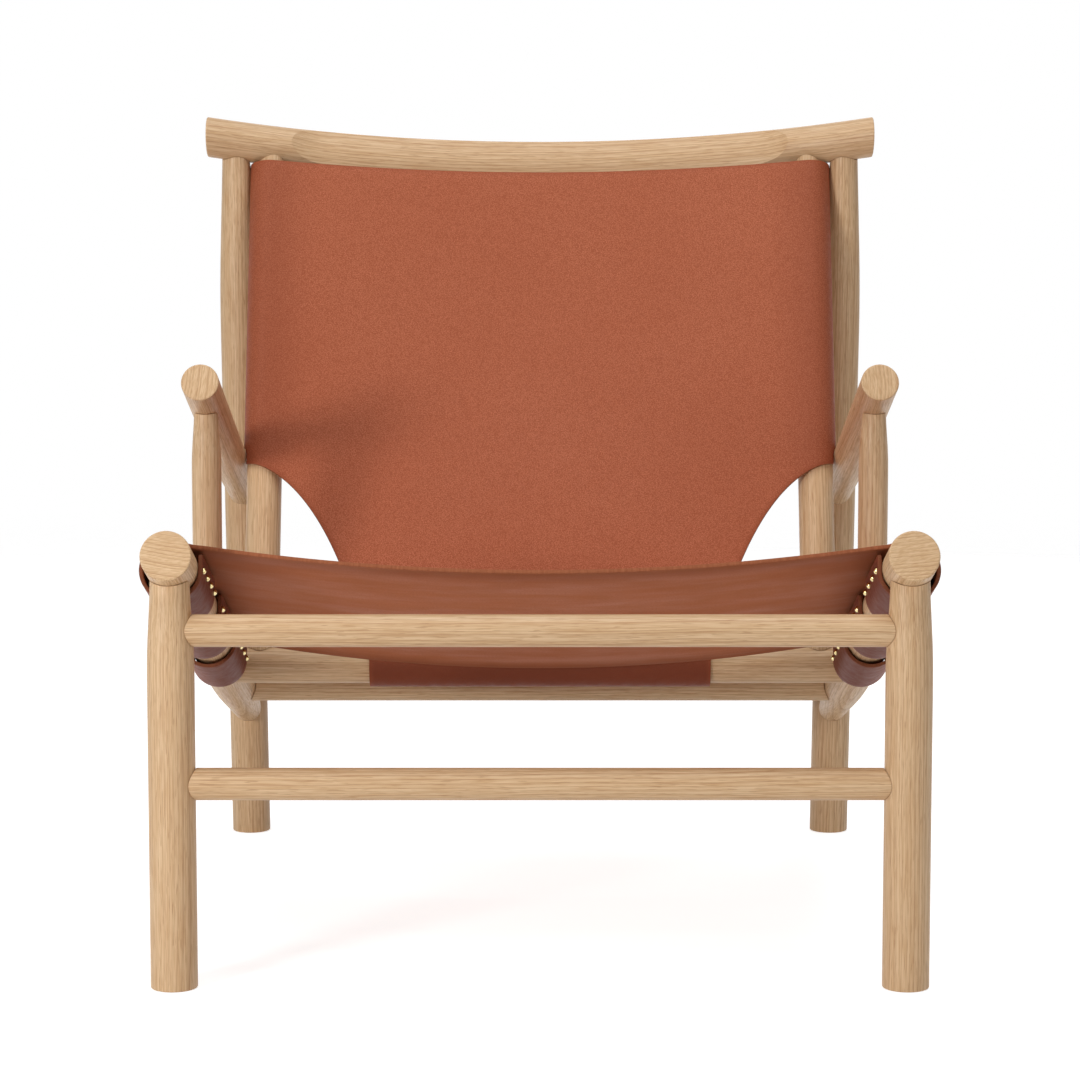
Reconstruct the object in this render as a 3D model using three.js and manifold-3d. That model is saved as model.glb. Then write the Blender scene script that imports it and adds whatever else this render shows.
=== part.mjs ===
// Leather sling lounge chair: a glued frame of turned oak rounds that carries a hide seat and a hide back.
// Millimetres, +Z up, the sitter faces -Y. The origin is on the floor under the middle of the chair.
import * as THREE from "three";
import { mergeVertices } from "three/addons/utils/BufferGeometryUtils.js";
import Module from "manifold-3d";

const wasm = await Module();
wasm.setup();

// Layout of the frame
const legSpacing = 700; // between the axes of the left and right legs
const cradlePitch = 18.95; // degrees by which the rails and arms fall towards the back
const railHeight = 408; // rail axis above the floor, at the front leg axis
const railOverhang = 32; // rail in front of the front leg axis
const rearFootSetback = 774; // rear foot behind the front leg axis, on the floor
const upperStretcherDrop = 64; // upper front stretcher below the rail axis
const stretcherSpacing = 147; // between the two front stretchers
const armHeight = 237.5; // arm axis from the rail axis, square to it
const armFrontSetback = 204; // front end of the arm behind the front leg axis, along the rail
const armPostSetback = 325; // arm post behind the front leg axis
const backBarSetback = 507; // back bar behind the front leg axis, along the rail
const rearStretcherGap = 136; // rear stretcher behind the back bar, along the rail
const backHeight = 610.5; // top rail axis from the back bar axis, square to the rails
const armPassGap = 1; // between a back post and the arm that runs past it
const topRailOverhang = 31; // top rail beyond the leg axes
const topRailBend = 960; // bend radius of the top rail's axis

// Rounds: body diameter, diameter at a joined end and length of the taper there
const frontLegDiameter = 45;
const frontLegTopDiameter = 39;
const frontLegTaper = 75;
const rearLegDiameter = 45;
const rearLegTopDiameter = 32;
const rearLegTaper = 200;
const railDiameter = 48.5;
const railRearDiameter = 36;
const railTaper = 130;
const armDiameter = 39;
const armRearDiameter = 32;
const armTaper = 150;
const armPostDiameter = 31;
const armPostTopDiameter = 26;
const armPostTaper = 50;
const backPostDiameter = 39;
const backPostEndDiameter = 32;
const backPostTaper = 90;
const backBarDiameter = 40;
const stretcherDiameter = 31;
const topRailDiameter = 45;
const scoopHalfLength = 286; // reach of the hollow in the front of the top rail
const scoopDepth = 8.4; // depth of that hollow at the middle
const edgeEase = 1.5; // eased edge of each foot and free end

// Loose dowels and the glue gaps
const dowelDiameter = 12;
const dowelDepth = 22; // into each of the two joined pieces
const shortDowelDepth = 11; // into the back bar, over its own end dowels
const jointGap = 0.3; // between joined faces, and round each dowel

// Leather
const hideThickness = 3.6;
const hideClearance = 0.4; // between a loop and its round
const loopSlack = 3.7; // extra radius of a seat loop where it hangs loose outside and under its rail
const tailHeight = 14; // free tail of a loop past the axis of its round
const seatFrontSetback = 23; // front edge behind the front leg axis, along the rail
const seatDepth = 450; // along the rails
const seatSagFront = 31;
const seatSagRear = 35;
const seatDeparture = 25; // degrees that the hide follows the rail on its inner side
const seatShoulder = 20; // handle of the section's curve where it leaves the rail
const seatFlat = 150; // handle of the section's curve at the middle
const frontSlotSetback = 146; // first slot behind the seat's front edge
const frontSlotWidth = 62;
const armPostSlotWidth = 46;
const slotReach = 25; // slots reach this far inside the rail axis
const tailClearance = 1; // between the end of a tail and the cuts that leave the hide above it whole
const hideNotch = 1.5; // clearance of the hide round a leg, post or arm
const backTopDrop = 26.5; // top edge of the back below the top rail axis
const backSag = 42;
const backSagHeight = 450; // height over which the back takes up its sag
const backDeparture = 15;
const backShoulder = 100;
const backFlat = 100;
const sleeveHemHeight = 222; // lower end of the back's sleeves, at the post axis
const scallopReach = 63; // handles of the scalloped lower edge
const scallopFall = 38;
const scallopFlare = 32;
const scallopRise = 125;
const tongueHalfWidth = 187.5;

// Facets
const roundSides = 20;
const dowelSides = 10;
const bendSteps = 16;
const loopSteps = 14;
const spanSteps = 8;
const wrapSteps = 7;
const backRows = 7;
const scoopSides = 120;
const scallopSteps = 10;
const slotSides = 6;

// Worked out sizes
const pitch = THREE.MathUtils.degToRad(cradlePitch);
const halfSpan = legSpacing / 2;
const postSpan = halfSpan - armDiameter / 2 - backPostDiameter / 2 - armPassGap;
const topRailMiddle = backBarSetback + bendSag(postSpan);
const backTopHeight = backHeight - backTopDrop;
const sides = { left: -1, right: 1 };

// How far the top rail's axis falls short of its middle at a distance from it
function bendSag(across) {
  return topRailBend - Math.sqrt(topRailBend ** 2 - across ** 2);
}

// Frames: the chair stands level, and the cradle of rails, arms and back leans inside it
const chair = new THREE.Group();
const cradle = new THREE.Group();
cradle.position.set(0, 0, railHeight);
cradle.rotation.x = -pitch;
chair.add(cradle);
chair.updateMatrixWorld(true);

// Materials
const oak = () => new THREE.MeshStandardMaterial({ color: 0xd2b188, roughness: 0.62, metalness: 0 });
const beech = () => new THREE.MeshStandardMaterial({ color: 0xdcc4a0, roughness: 0.7, metalness: 0 });
const seatHide = () => new THREE.MeshStandardMaterial({ color: 0x7d4a36, roughness: 0.55, metalness: 0 });
const backHide = () => new THREE.MeshStandardMaterial({ color: 0xa55d40, roughness: 0.58, metalness: 0 });

// Solids
function solidOf(geometry, matrix) {
  const bare = geometry.clone();
  bare.deleteAttribute("normal");
  bare.deleteAttribute("uv");
  if (matrix) bare.applyMatrix4(matrix);
  const merged = mergeVertices(bare, 1e-4);
  return new wasm.Manifold(
    new wasm.Mesh({
      numProp: 3,
      vertProperties: new Float32Array(merged.attributes.position.array),
      triVerts: new Uint32Array(merged.index.array),
    }),
  );
}

function geometryOf(solid) {
  const mesh = solid.getMesh();
  const geometry = new THREE.BufferGeometry();
  geometry.setAttribute("position", new THREE.BufferAttribute(new Float32Array(mesh.vertProperties), 3));
  geometry.setIndex(new THREE.BufferAttribute(new Uint32Array(mesh.triVerts), 1));
  geometry.computeVertexNormals();
  return geometry;
}

// Adds a named piece to its group, with every cutter (a solid in the chair's frame) taken out of it
function addPiece(name, group, place, geometry, cutters, material) {
  const toChair = new THREE.Matrix4().multiplyMatrices(group.matrixWorld, place);
  const toPiece = toChair.clone().invert();
  let solid = solidOf(geometry);
  for (const cutter of cutters) {
    solid = solid.subtract(solidOf(geometryOf(cutter), toPiece));
  }
  const mesh = new THREE.Mesh(geometryOf(solid), material);
  mesh.name = name;
  place.decompose(mesh.position, mesh.quaternion, mesh.scale);
  group.add(mesh);
}

// A place whose +Y runs from one point to another
function placeAlong(from, to) {
  const axis = new THREE.Vector3().subVectors(to, from).normalize();
  const turn = new THREE.Quaternion().setFromUnitVectors(new THREE.Vector3(0, 1, 0), axis);
  return new THREE.Matrix4().compose(from, turn, new THREE.Vector3(1, 1, 1));
}

// A turned round along +Y, from stations of [distance, radius]
function turned(stations, grow) {
  const profile = stations.map(([at, radius]) => new THREE.Vector2(radius + grow, at));
  profile.unshift(new THREE.Vector2(0, stations[0][0]));
  profile.push(new THREE.Vector2(0, stations.at(-1)[0]));
  return new THREE.LatheGeometry(profile, roundSides);
}

const freeEnd = (radius) => [
  [0, radius - edgeEase],
  [edgeEase, radius],
];

// Stations of an end that tapers over a length and then runs on to the axis of the round that it meets
const taperedEnd = (length, radius, endRadius, taper, seat) => [
  [length - seat - taper, radius],
  [length - seat, endRadius],
  [length, endRadius],
];

// The same end, turned round to be the first
const taperedStart = (radius, endRadius, taper, seat) => [
  [0, endRadius],
  [seat, endRadius],
  [seat + taper, radius],
];

// A round piece, before its joints are cut. Its blank can be grown, to cut a seat for it in another.
function makeRound(name, group, from, to, stations) {
  const place = placeAlong(from, to);
  const toChair = new THREE.Matrix4().multiplyMatrices(group.matrixWorld, place);
  const blank = (grow = 0) => turned(stations, grow);
  const axis = new THREE.Vector3(0, 1, 0).transformDirection(toChair);
  return { name, group, place, toChair, blank, axis, cutters: [] };
}

const rounds = [];
const dowels = [];

function addRound(...details) {
  const round = makeRound(...details);
  rounds.push(round);
  return round;
}

// Joins the end of one round to the side of another with a dowel along the first one's axis.
// meeting is where the two axes meet, in the chair's frame, and inward points from the end into the side.
function join(name, member, receiver, receiverRadius, meeting, inward, depth = dowelDepth) {
  member.cutters.push(solidOf(receiver.blank(jointGap), receiver.toChair));
  const slant = Math.sqrt(1 - inward.dot(receiver.axis) ** 2);
  const seat = meeting.clone().addScaledVector(inward, -receiverRadius / slant);
  const from = seat.clone().addScaledVector(inward, -dowelDepth);
  const to = seat.clone().addScaledVector(inward, depth);
  const place = placeAlong(from, to);
  const length = from.distanceTo(to);
  const radius = dowelDiameter / 2;
  const pin = (grow) => {
    const rod = new THREE.CylinderGeometry(radius + grow, radius + grow, length + 2 * grow, dowelSides);
    return rod.translate(0, length / 2, 0);
  };
  const hole = solidOf(pin(jointGap), place);
  member.cutters.push(hole);
  receiver.cutters.push(hole);
  dowels.push({ name, place, geometry: pin(0) });
}

// Points given in the cradle's frame or in the chair's
const inCradle = (x, y, z) => new THREE.Vector3(x, y, z);
const toLevel = (point) => point.clone().applyMatrix4(cradle.matrixWorld);
const railDirection = new THREE.Vector3(0, Math.cos(pitch), -Math.sin(pitch));
const postDirection = new THREE.Vector3(0, Math.sin(pitch), Math.cos(pitch));
const up = new THREE.Vector3(0, 0, 1);
const down = new THREE.Vector3(0, 0, -1);

// Height of a line that runs parallel to the rails, at a setback on the level
const levelOnRail = (setback) => railHeight - setback * Math.tan(pitch);
const levelOnArm = (setback) => levelOnRail(setback) + armHeight / Math.cos(pitch);
const levelReach = (diameter) => diameter / 2 / Math.cos(pitch);

// Top rail: a turned round bent to an arc, longer than the rail that is cut from it
function bentRail(grow) {
  const reach = halfSpan + topRailOverhang + topRailDiameter;
  const radius = topRailDiameter / 2;
  const stations = [];
  for (let step = 0; step <= bendSteps; step++) {
    stations.push([reach * ((2 * step) / bendSteps - 1), radius]);
  }
  const rail = turned(stations, grow).rotateZ(-Math.PI / 2);
  const points = rail.attributes.position;
  for (let i = 0; i < points.count; i++) {
    const turn = points.getX(i) / topRailBend;
    const out = topRailBend + points.getY(i);
    points.setXY(i, out * Math.sin(turn), out * Math.cos(turn) - topRailBend);
  }
  return rail;
}

// The saw cut that squares one end of the top rail
function endCutter(side, place) {
  const waste = 4 * topRailDiameter;
  const block = new THREE.BoxGeometry(waste, waste, waste);
  block.translate(side * (halfSpan + topRailOverhang + waste / 2), -bendSag(halfSpan), 0);
  return solidOf(block, place);
}

// The shallow hollow along the front of the top rail
function scoopCutter(place) {
  const front = topRailBend - topRailDiameter / 2;
  const tip = front - Math.sqrt(front ** 2 - scoopHalfLength ** 2);
  const rise = tip + scoopDepth;
  const radius = (scoopHalfLength ** 2 + rise ** 2) / (2 * rise);
  const middle = scoopDepth - topRailDiameter / 2;
  const drum = new THREE.CylinderGeometry(radius, radius, 2 * topRailDiameter, scoopSides);
  drum.rotateX(Math.PI / 2).translate(0, middle - radius, 0);
  return solidOf(drum, place);
}

const topPlace = new THREE.Matrix4().makeTranslation(0, topRailMiddle, backHeight);
const topToChair = new THREE.Matrix4().multiplyMatrices(cradle.matrixWorld, topPlace);
const topRail = {
  name: "top_rail",
  group: cradle,
  place: topPlace,
  toChair: topToChair,
  blank: (grow = 0) => bentRail(grow),
  axis: new THREE.Vector3(1, 0, 0),
  cutters: [scoopCutter(topToChair), endCutter(sides.left, topToChair), endCutter(sides.right, topToChair)],
};
rounds.push(topRail);

// Cross pieces between a left and a right round
function crossPiece(name, group, y, z, diameter) {
  const from = new THREE.Vector3(-halfSpan, y, z);
  const to = new THREE.Vector3(halfSpan, y, z);
  return addRound(name, group, from, to, [
    [0, diameter / 2],
    [legSpacing, diameter / 2],
  ]);
}

const upperHeight = railHeight - upperStretcherDrop;
const lowerHeight = upperHeight - stretcherSpacing;
const rearStretcherSetback = backBarSetback + rearStretcherGap;
const upperStretcher = crossPiece("front_stretcher_upper", chair, 0, upperHeight, stretcherDiameter);
const lowerStretcher = crossPiece("front_stretcher_lower", chair, 0, lowerHeight, stretcherDiameter);
const rearStretcher = crossPiece("rear_stretcher", cradle, rearStretcherSetback, 0, stretcherDiameter);
const backBar = crossPiece("back_bar", cradle, backBarSetback, 0, backBarDiameter);
const barRadius = backBarDiameter / 2;

// Rear leg: leans forward to the top rail, and its foot stays flat on the floor
const legTopSetback = topRailMiddle - bendSag(halfSpan);
const rearFoot = (side) => new THREE.Vector3(side * halfSpan, rearFootSetback, 0);
const rearTop = (side) => toLevel(inCradle(side * halfSpan, legTopSetback, backHeight));

function makeRearLeg(name, side) {
  const foot = rearFoot(side);
  const rise = rearTop(side).sub(foot);
  const radius = rearLegDiameter / 2;
  const seat = topRailDiameter / 2;
  const stations = [
    ...freeEnd(radius),
    ...taperedEnd(rise.z, radius, rearLegTopDiameter / 2, rearLegTaper, seat),
  ];
  const place = new THREE.Matrix4().makeTranslation(foot);
  const lean = new THREE.Matrix4().makeShear(0, 0, 0, 0, 0, rise.y / rise.z);
  return {
    name,
    group: chair,
    place,
    toChair: place,
    blank: (grow = 0) => turned(stations, grow).rotateX(Math.PI / 2).applyMatrix4(lean),
    axis: rise.normalize(),
    cutters: [],
  };
}

// Setback along the rail where a line parallel to it meets the rear leg
function setbackAtRearLeg(height) {
  const foot = rearFoot(1);
  const rise = rearTop(1).sub(foot);
  const start = toLevel(inCradle(halfSpan, 0, height)).sub(foot);
  const across = (a, b) => a.y * b.z - a.z * b.y;
  return -across(start, rise) / across(railDirection, rise);
}

const railEndSetback = setbackAtRearLeg(0);
const armEndSetback = setbackAtRearLeg(armHeight);

// The rounds of one side of the frame, with their joints
function buildSide(label, side) {
  const x = side * halfSpan;
  const postX = side * postSpan;
  const legRadius = frontLegDiameter / 2;
  const onLeg = (height) => new THREE.Vector3(x, 0, height);
  const frontLeg = addRound(`front_leg_${label}`, chair, onLeg(0), onLeg(railHeight), [
    ...freeEnd(legRadius),
    ...taperedEnd(railHeight, legRadius, frontLegTopDiameter / 2, frontLegTaper, levelReach(railDiameter)),
  ]);
  const rearLeg = makeRearLeg(`rear_leg_${label}`, side);
  rounds.push(rearLeg);

  const railStart = inCradle(x, -railOverhang, 0);
  const railLength = railOverhang + railEndSetback;
  const rearSeat = rearLegDiameter / 2;
  const rail = addRound(`seat_rail_${label}`, cradle, railStart, inCradle(x, railEndSetback, 0), [
    ...freeEnd(railDiameter / 2),
    ...taperedEnd(railLength, railDiameter / 2, railRearDiameter / 2, railTaper, rearSeat),
  ]);
  const armStart = inCradle(x, armFrontSetback, armHeight);
  const armLength = armEndSetback - armFrontSetback;
  const arm = addRound(`arm_${label}`, cradle, armStart, inCradle(x, armEndSetback, armHeight), [
    ...freeEnd(armDiameter / 2),
    ...taperedEnd(armLength, armDiameter / 2, armRearDiameter / 2, armTaper, rearSeat),
  ]);

  const armPostFoot = new THREE.Vector3(x, armPostSetback, levelOnRail(armPostSetback));
  const armPostTop = new THREE.Vector3(x, armPostSetback, levelOnArm(armPostSetback));
  const armPostRadius = armPostDiameter / 2;
  const armPost = addRound(`arm_post_${label}`, chair, armPostFoot, armPostTop, [
    [0, armPostRadius],
    ...taperedEnd(
      armPostTop.z - armPostFoot.z,
      armPostRadius,
      armPostTopDiameter / 2,
      armPostTaper,
      levelReach(armDiameter),
    ),
  ]);

  const postFoot = inCradle(postX, backBarSetback, 0);
  const postTop = inCradle(postX, backBarSetback, backHeight);
  const postRadius = backPostDiameter / 2;
  const postEnd = backPostEndDiameter / 2;
  const backPost = addRound(`back_post_${label}`, cradle, postFoot, postTop, [
    ...taperedStart(postRadius, postEnd, backPostTaper / 2, barRadius),
    ...taperedEnd(backHeight, postRadius, postEnd, backPostTaper, topRailDiameter / 2),
  ]);

  const outward = new THREE.Vector3(side, 0, 0);
  const railRadius = railDiameter / 2;
  const topRailRadius = topRailDiameter / 2;
  const onRail = (setback) => toLevel(inCradle(x, setback, 0));
  join(`dowel_front_leg_${label}`, frontLeg, rail, railRadius, onLeg(railHeight), up);
  join(`dowel_upper_stretcher_${label}`, upperStretcher, frontLeg, legRadius, onLeg(upperHeight), outward);
  join(`dowel_lower_stretcher_${label}`, lowerStretcher, frontLeg, legRadius, onLeg(lowerHeight), outward);
  join(`dowel_rail_${label}`, rail, rearLeg, rearSeat, onRail(railEndSetback), railDirection);
  join(`dowel_back_bar_${label}`, backBar, rail, railRadius, onRail(backBarSetback), outward);
  const stretcherMeeting = onRail(rearStretcherSetback);
  join(`dowel_rear_stretcher_${label}`, rearStretcher, rail, railRadius, stretcherMeeting, outward);
  join(`dowel_arm_post_foot_${label}`, armPost, rail, railRadius, armPostFoot, down);
  join(`dowel_arm_post_top_${label}`, armPost, arm, armDiameter / 2, armPostTop, up);
  const armMeeting = toLevel(inCradle(x, armEndSetback, armHeight));
  join(`dowel_arm_${label}`, arm, rearLeg, rearSeat, armMeeting, railDirection);
  const postBase = toLevel(postFoot);
  const intoBar = postDirection.clone().negate();
  join(`dowel_back_post_foot_${label}`, backPost, backBar, barRadius, postBase, intoBar, shortDowelDepth);
  join(`dowel_back_post_top_${label}`, backPost, topRail, topRailRadius, toLevel(postTop), postDirection);
  join(`dowel_rear_leg_${label}`, rearLeg, topRail, topRailRadius, rearTop(side), rearLeg.axis);
  return { frontLeg, rearLeg, armPost, arm };
}

const built = Object.entries(sides).map(([label, side]) => buildSide(label, side));
for (const round of rounds) {
  addPiece(round.name, round.group, round.place, round.blank(), round.cutters, oak());
}
for (const dowel of dowels) {
  addPiece(dowel.name, chair, dowel.place, dowel.geometry, [], beech());
}

// A hide of even thickness along a grid of points on its middle surface, where kept says which cells exist
function hide(grid, kept = () => true) {
  const rows = grid.length;
  const columns = grid[0].length;
  const within = (index, count) => THREE.MathUtils.clamp(index, 0, count - 1);
  const at = (row, column) => grid[within(row, rows)][within(column, columns)];
  const exists = (row, column) =>
    row >= 0 && column >= 0 && row < rows - 1 && column < columns - 1 && kept(row, column);
  const vertices = [];
  const faces = [];
  for (let row = 0; row < rows; row++) {
    for (let column = 0; column < columns; column++) {
      const across = new THREE.Vector3().subVectors(at(row, column + 1), at(row, column - 1));
      const along = new THREE.Vector3().subVectors(at(row + 1, column), at(row - 1, column));
      const half = across.cross(along).setLength(hideThickness / 2);
      vertices.push(...new THREE.Vector3().addVectors(at(row, column), half));
      vertices.push(...new THREE.Vector3().subVectors(at(row, column), half));
    }
  }
  const id = (row, column, side) => 2 * (row * columns + column) + side;
  const quad = (a, b, c, d) => faces.push(a, b, c, a, c, d);
  const wall = (row, column, nextRow, nextColumn) =>
    quad(id(row, column, 0), id(row, column, 1), id(nextRow, nextColumn, 1), id(nextRow, nextColumn, 0));
  for (let row = 0; row < rows - 1; row++) {
    for (let column = 0; column < columns - 1; column++) {
      if (!exists(row, column)) continue;
      quad(id(row, column, 0), id(row, column + 1, 0), id(row + 1, column + 1, 0), id(row + 1, column, 0));
      quad(id(row, column, 1), id(row + 1, column, 1), id(row + 1, column + 1, 1), id(row, column + 1, 1));
      if (!exists(row - 1, column)) wall(row, column, row, column + 1);
      if (!exists(row + 1, column)) wall(row + 1, column + 1, row + 1, column);
      if (!exists(row, column - 1)) wall(row + 1, column, row, column);
      if (!exists(row, column + 1)) wall(row, column + 1, row + 1, column + 1);
    }
  }
  const geometry = new THREE.BufferGeometry();
  geometry.setAttribute("position", new THREE.Float32BufferAttribute(vertices, 3));
  geometry.setIndex(faces);
  return geometry;
}

// Middle radius of a loop of hide whose flats stay clear of the round inside it
function loopRadius(diameter, sweep) {
  const inner = (diameter / 2 + hideClearance) / Math.cos(sweep / loopSteps / 2);
  return inner + hideThickness / 2;
}

// Half the section of a sling, from the tail of its loop to the middle of its span. Each point is
// [inward from the round's axis, towards the sitter].
function slingSection(diameter, slack, departure, shoulder, flat, span, middle) {
  const leave = THREE.MathUtils.degToRad(departure);
  const sweep = 1.5 * Math.PI + leave;
  const radius = loopRadius(diameter, sweep);
  const section = [new THREE.Vector2(radius, tailHeight)];
  for (let step = 0; step < loopSteps; step++) {
    const turn = (-sweep * step) / loopSteps;
    const loose = radius + slack * Math.sin((Math.PI * step) / loopSteps);
    section.push(new THREE.Vector2(loose * Math.cos(turn), loose * Math.sin(turn)));
  }
  const start = new THREE.Vector2(radius * Math.sin(leave), radius * Math.cos(leave));
  const handle = new THREE.Vector2(Math.cos(leave), -Math.sin(leave)).multiplyScalar(shoulder).add(start);
  const nearMiddle = new THREE.Vector2(span - flat, middle);
  const end = new THREE.Vector2(span, middle);
  return section.concat(new THREE.CubicBezierCurve(start, handle, nearMiddle, end).getPoints(spanSteps));
}

// The whole width of a sling from its half section, left tail to right tail
function bothHalves(section, span, place) {
  const left = section.map((point) => place(point.x - span, point.y));
  const right = section.slice(0, -1).map((point) => place(span - point.x, point.y));
  return left.concat(right.reverse());
}

// Seat: a hide over both rails, with loops round them between slots
const seatRadius = loopRadius(railDiameter, 1.5 * Math.PI);

function seatRow(setback, sag) {
  const middle = seatRadius - sag;
  const section = slingSection(
    railDiameter,
    loopSlack,
    seatDeparture,
    seatShoulder,
    seatFlat,
    halfSpan,
    middle,
  );
  return bothHalves(section, halfSpan, (x, z) => inCradle(x, setback, z));
}

// A slot is round at its inner end in the sheet, and under the sheet it parts the tails of two loops
function slotCutters(side, setback, width) {
  const outside = halfSpan + railDiameter;
  const inside = halfSpan - slotReach + width / 2;
  const shape = new THREE.Shape();
  shape.moveTo(outside, -width / 2);
  shape.lineTo(outside, width / 2);
  shape.lineTo(inside, width / 2);
  shape.absarc(inside, 0, width / 2, Math.PI / 2, 1.5 * Math.PI, false);
  const slot = new THREE.ExtrudeGeometry(shape, {
    depth: 2 * railDiameter,
    bevelEnabled: false,
    curveSegments: slotSides,
  });
  slot.translate(0, 0, -railDiameter);
  const loopEnd = halfSpan - seatRadius - hideThickness;
  const partTop = tailHeight + tailClearance;
  const part = new THREE.BoxGeometry(outside - loopEnd, width, partTop + railDiameter);
  part.translate((outside + loopEnd) / 2, 0, (partTop - railDiameter) / 2);
  return [slot, part].map((cutter) => {
    if (side < 0) cutter.rotateZ(Math.PI);
    return solidOf(cutter.translate(0, setback, 0), cradle.matrixWorld);
  });
}

const seatRear = seatFrontSetback + seatDepth;
const seatGrid = [seatRow(seatRear, seatSagRear), seatRow(seatFrontSetback, seatSagFront)];
const armPostOnRail = armPostSetback / Math.cos(pitch) - (railDiameter / 2) * Math.tan(pitch);
const slots = [
  [seatFrontSetback + frontSlotSetback, frontSlotWidth],
  [armPostOnRail, armPostSlotWidth],
];
const seatCutters = [];
for (const side of Object.values(sides)) {
  for (const [setback, width] of slots) {
    seatCutters.push(...slotCutters(side, setback, width));
  }
}
for (const { frontLeg, armPost } of built) {
  seatCutters.push(solidOf(frontLeg.blank(hideNotch), frontLeg.toChair));
  seatCutters.push(solidOf(armPost.blank(hideNotch), armPost.toChair));
}
const home = new THREE.Matrix4();
addPiece("seat_sling", cradle, home, hide(seatGrid), seatCutters, seatHide());

// Back: a hide sleeved on both posts, scalloped below them to a tongue that goes under the back bar
const tongueRadius = loopRadius(backBarDiameter, Math.PI);

function backRow(height) {
  const share = Math.sin((Math.PI / 2) * Math.min(1, height / backSagHeight)) ** 2;
  const middle = tongueRadius - backSag * share;
  const leave = backDeparture * share;
  const section = slingSection(backPostDiameter, 0, leave, backShoulder, backFlat, postSpan, middle);
  return bothHalves(section, postSpan, (x, y) => inCradle(x, backBarSetback - y, height));
}

// The same columns carried round the back bar, at a turn from its front, and then up to the free tail
function tongueRow(frontRow, turn, rise) {
  const y = backBarSetback - tongueRadius * Math.cos(turn);
  return frontRow.map((point) => inCradle(point.x, y, rise - tongueRadius * Math.sin(turn)));
}

// Waste below the lower edge of the sheet, from the tongue to the outside of a sleeve
const hemSlope = scallopFall / scallopReach;
const belowTongue = -2 * backBarDiameter;

function scallopCutter(side) {
  const outside = halfSpan;
  const shape = new THREE.Shape();
  shape.moveTo(postSpan, sleeveHemHeight);
  shape.bezierCurveTo(
    postSpan - scallopReach,
    sleeveHemHeight - scallopFall,
    tongueHalfWidth + scallopFlare,
    scallopRise,
    tongueHalfWidth,
    0,
  );
  shape.lineTo(tongueHalfWidth, belowTongue);
  shape.lineTo(outside, belowTongue);
  shape.lineTo(outside, sleeveHemHeight + hemSlope * (outside - postSpan));
  const depth = 2 * (backPostDiameter + backSag);
  const cutter = new THREE.ExtrudeGeometry(shape, {
    depth,
    bevelEnabled: false,
    curveSegments: scallopSteps,
  });
  cutter.translate(0, 0, -depth / 2).rotateX(Math.PI / 2);
  if (side < 0) cutter.rotateZ(Math.PI);
  return solidOf(cutter.translate(0, backBarSetback, 0), cradle.matrixWorld);
}

// Waste below a sleeve behind the sheet, where the hem goes on rising round the post
function sleeveCutter(side) {
  const radius = backPostDiameter / 2 + hideThickness;
  const front = -(tailHeight + tailClearance);
  const rear = 2 * backPostDiameter;
  const hemAt = (y) => sleeveHemHeight + hemSlope * (Math.PI / 2) * (radius + y);
  const shape = new THREE.Shape();
  shape.moveTo(front, belowTongue);
  shape.lineTo(rear, belowTongue);
  shape.lineTo(rear, hemAt(rear));
  shape.lineTo(front, hemAt(front));
  const depth = 2 * backPostDiameter;
  const cutter = new THREE.ExtrudeGeometry(shape, { depth, bevelEnabled: false });
  cutter.rotateX(Math.PI / 2).rotateZ(Math.PI / 2);
  return solidOf(cutter.translate(side * postSpan - depth / 2, backBarSetback, 0), cradle.matrixWorld);
}

const frontRow = backRow(0);
const backGrid = [tongueRow(frontRow, Math.PI, tailHeight)];
for (let step = wrapSteps; step > 0; step--) {
  backGrid.push(tongueRow(frontRow, (Math.PI * step) / wrapSteps, 0));
}
const firstSheetRow = backGrid.length;
for (let row = 0; row <= backRows; row++) {
  backGrid.push(backRow((backTopHeight * row) / backRows));
}
const tongueEdge = frontRow.findIndex((point, i) => i > loopSteps && point.x > -tongueHalfWidth) - 1;
const inTongue = (column) => column >= tongueEdge && column < frontRow.length - 1 - tongueEdge;
const backCutters = Object.values(sides).flatMap((side) => [scallopCutter(side), sleeveCutter(side)]);
for (const { arm, rearLeg } of built) {
  backCutters.push(solidOf(arm.blank(hideNotch), arm.toChair));
  backCutters.push(solidOf(rearLeg.blank(hideNotch), rearLeg.toChair));
}
const backSheet = hide(backGrid, (row, column) => row >= firstSheetRow || inTongue(column));
addPiece("back_sling", cradle, home, backSheet, backCutters, backHide());

// The origin goes under the middle of the chair
const box = new THREE.Box3().setFromObject(chair);
chair.position.y = -(box.min.y + box.max.y) / 2;
const root = new THREE.Group();
root.add(chair);

export default root;
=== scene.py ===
"""Leather sling lounge chair: smooth oak rounds, two hides and brass nails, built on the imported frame.

Metres, +Z up, the sitter faces -Y. The cradle is the frame's leaning part: in it +Y runs back and down
along the seat rails, and +Z stands square to them.
"""

import math

import bpy
import numpy as np
from mathutils import Matrix, Vector
from mathutils.geometry import delaunay_2d_cdt
from mathutils.kdtree import KDTree


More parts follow.
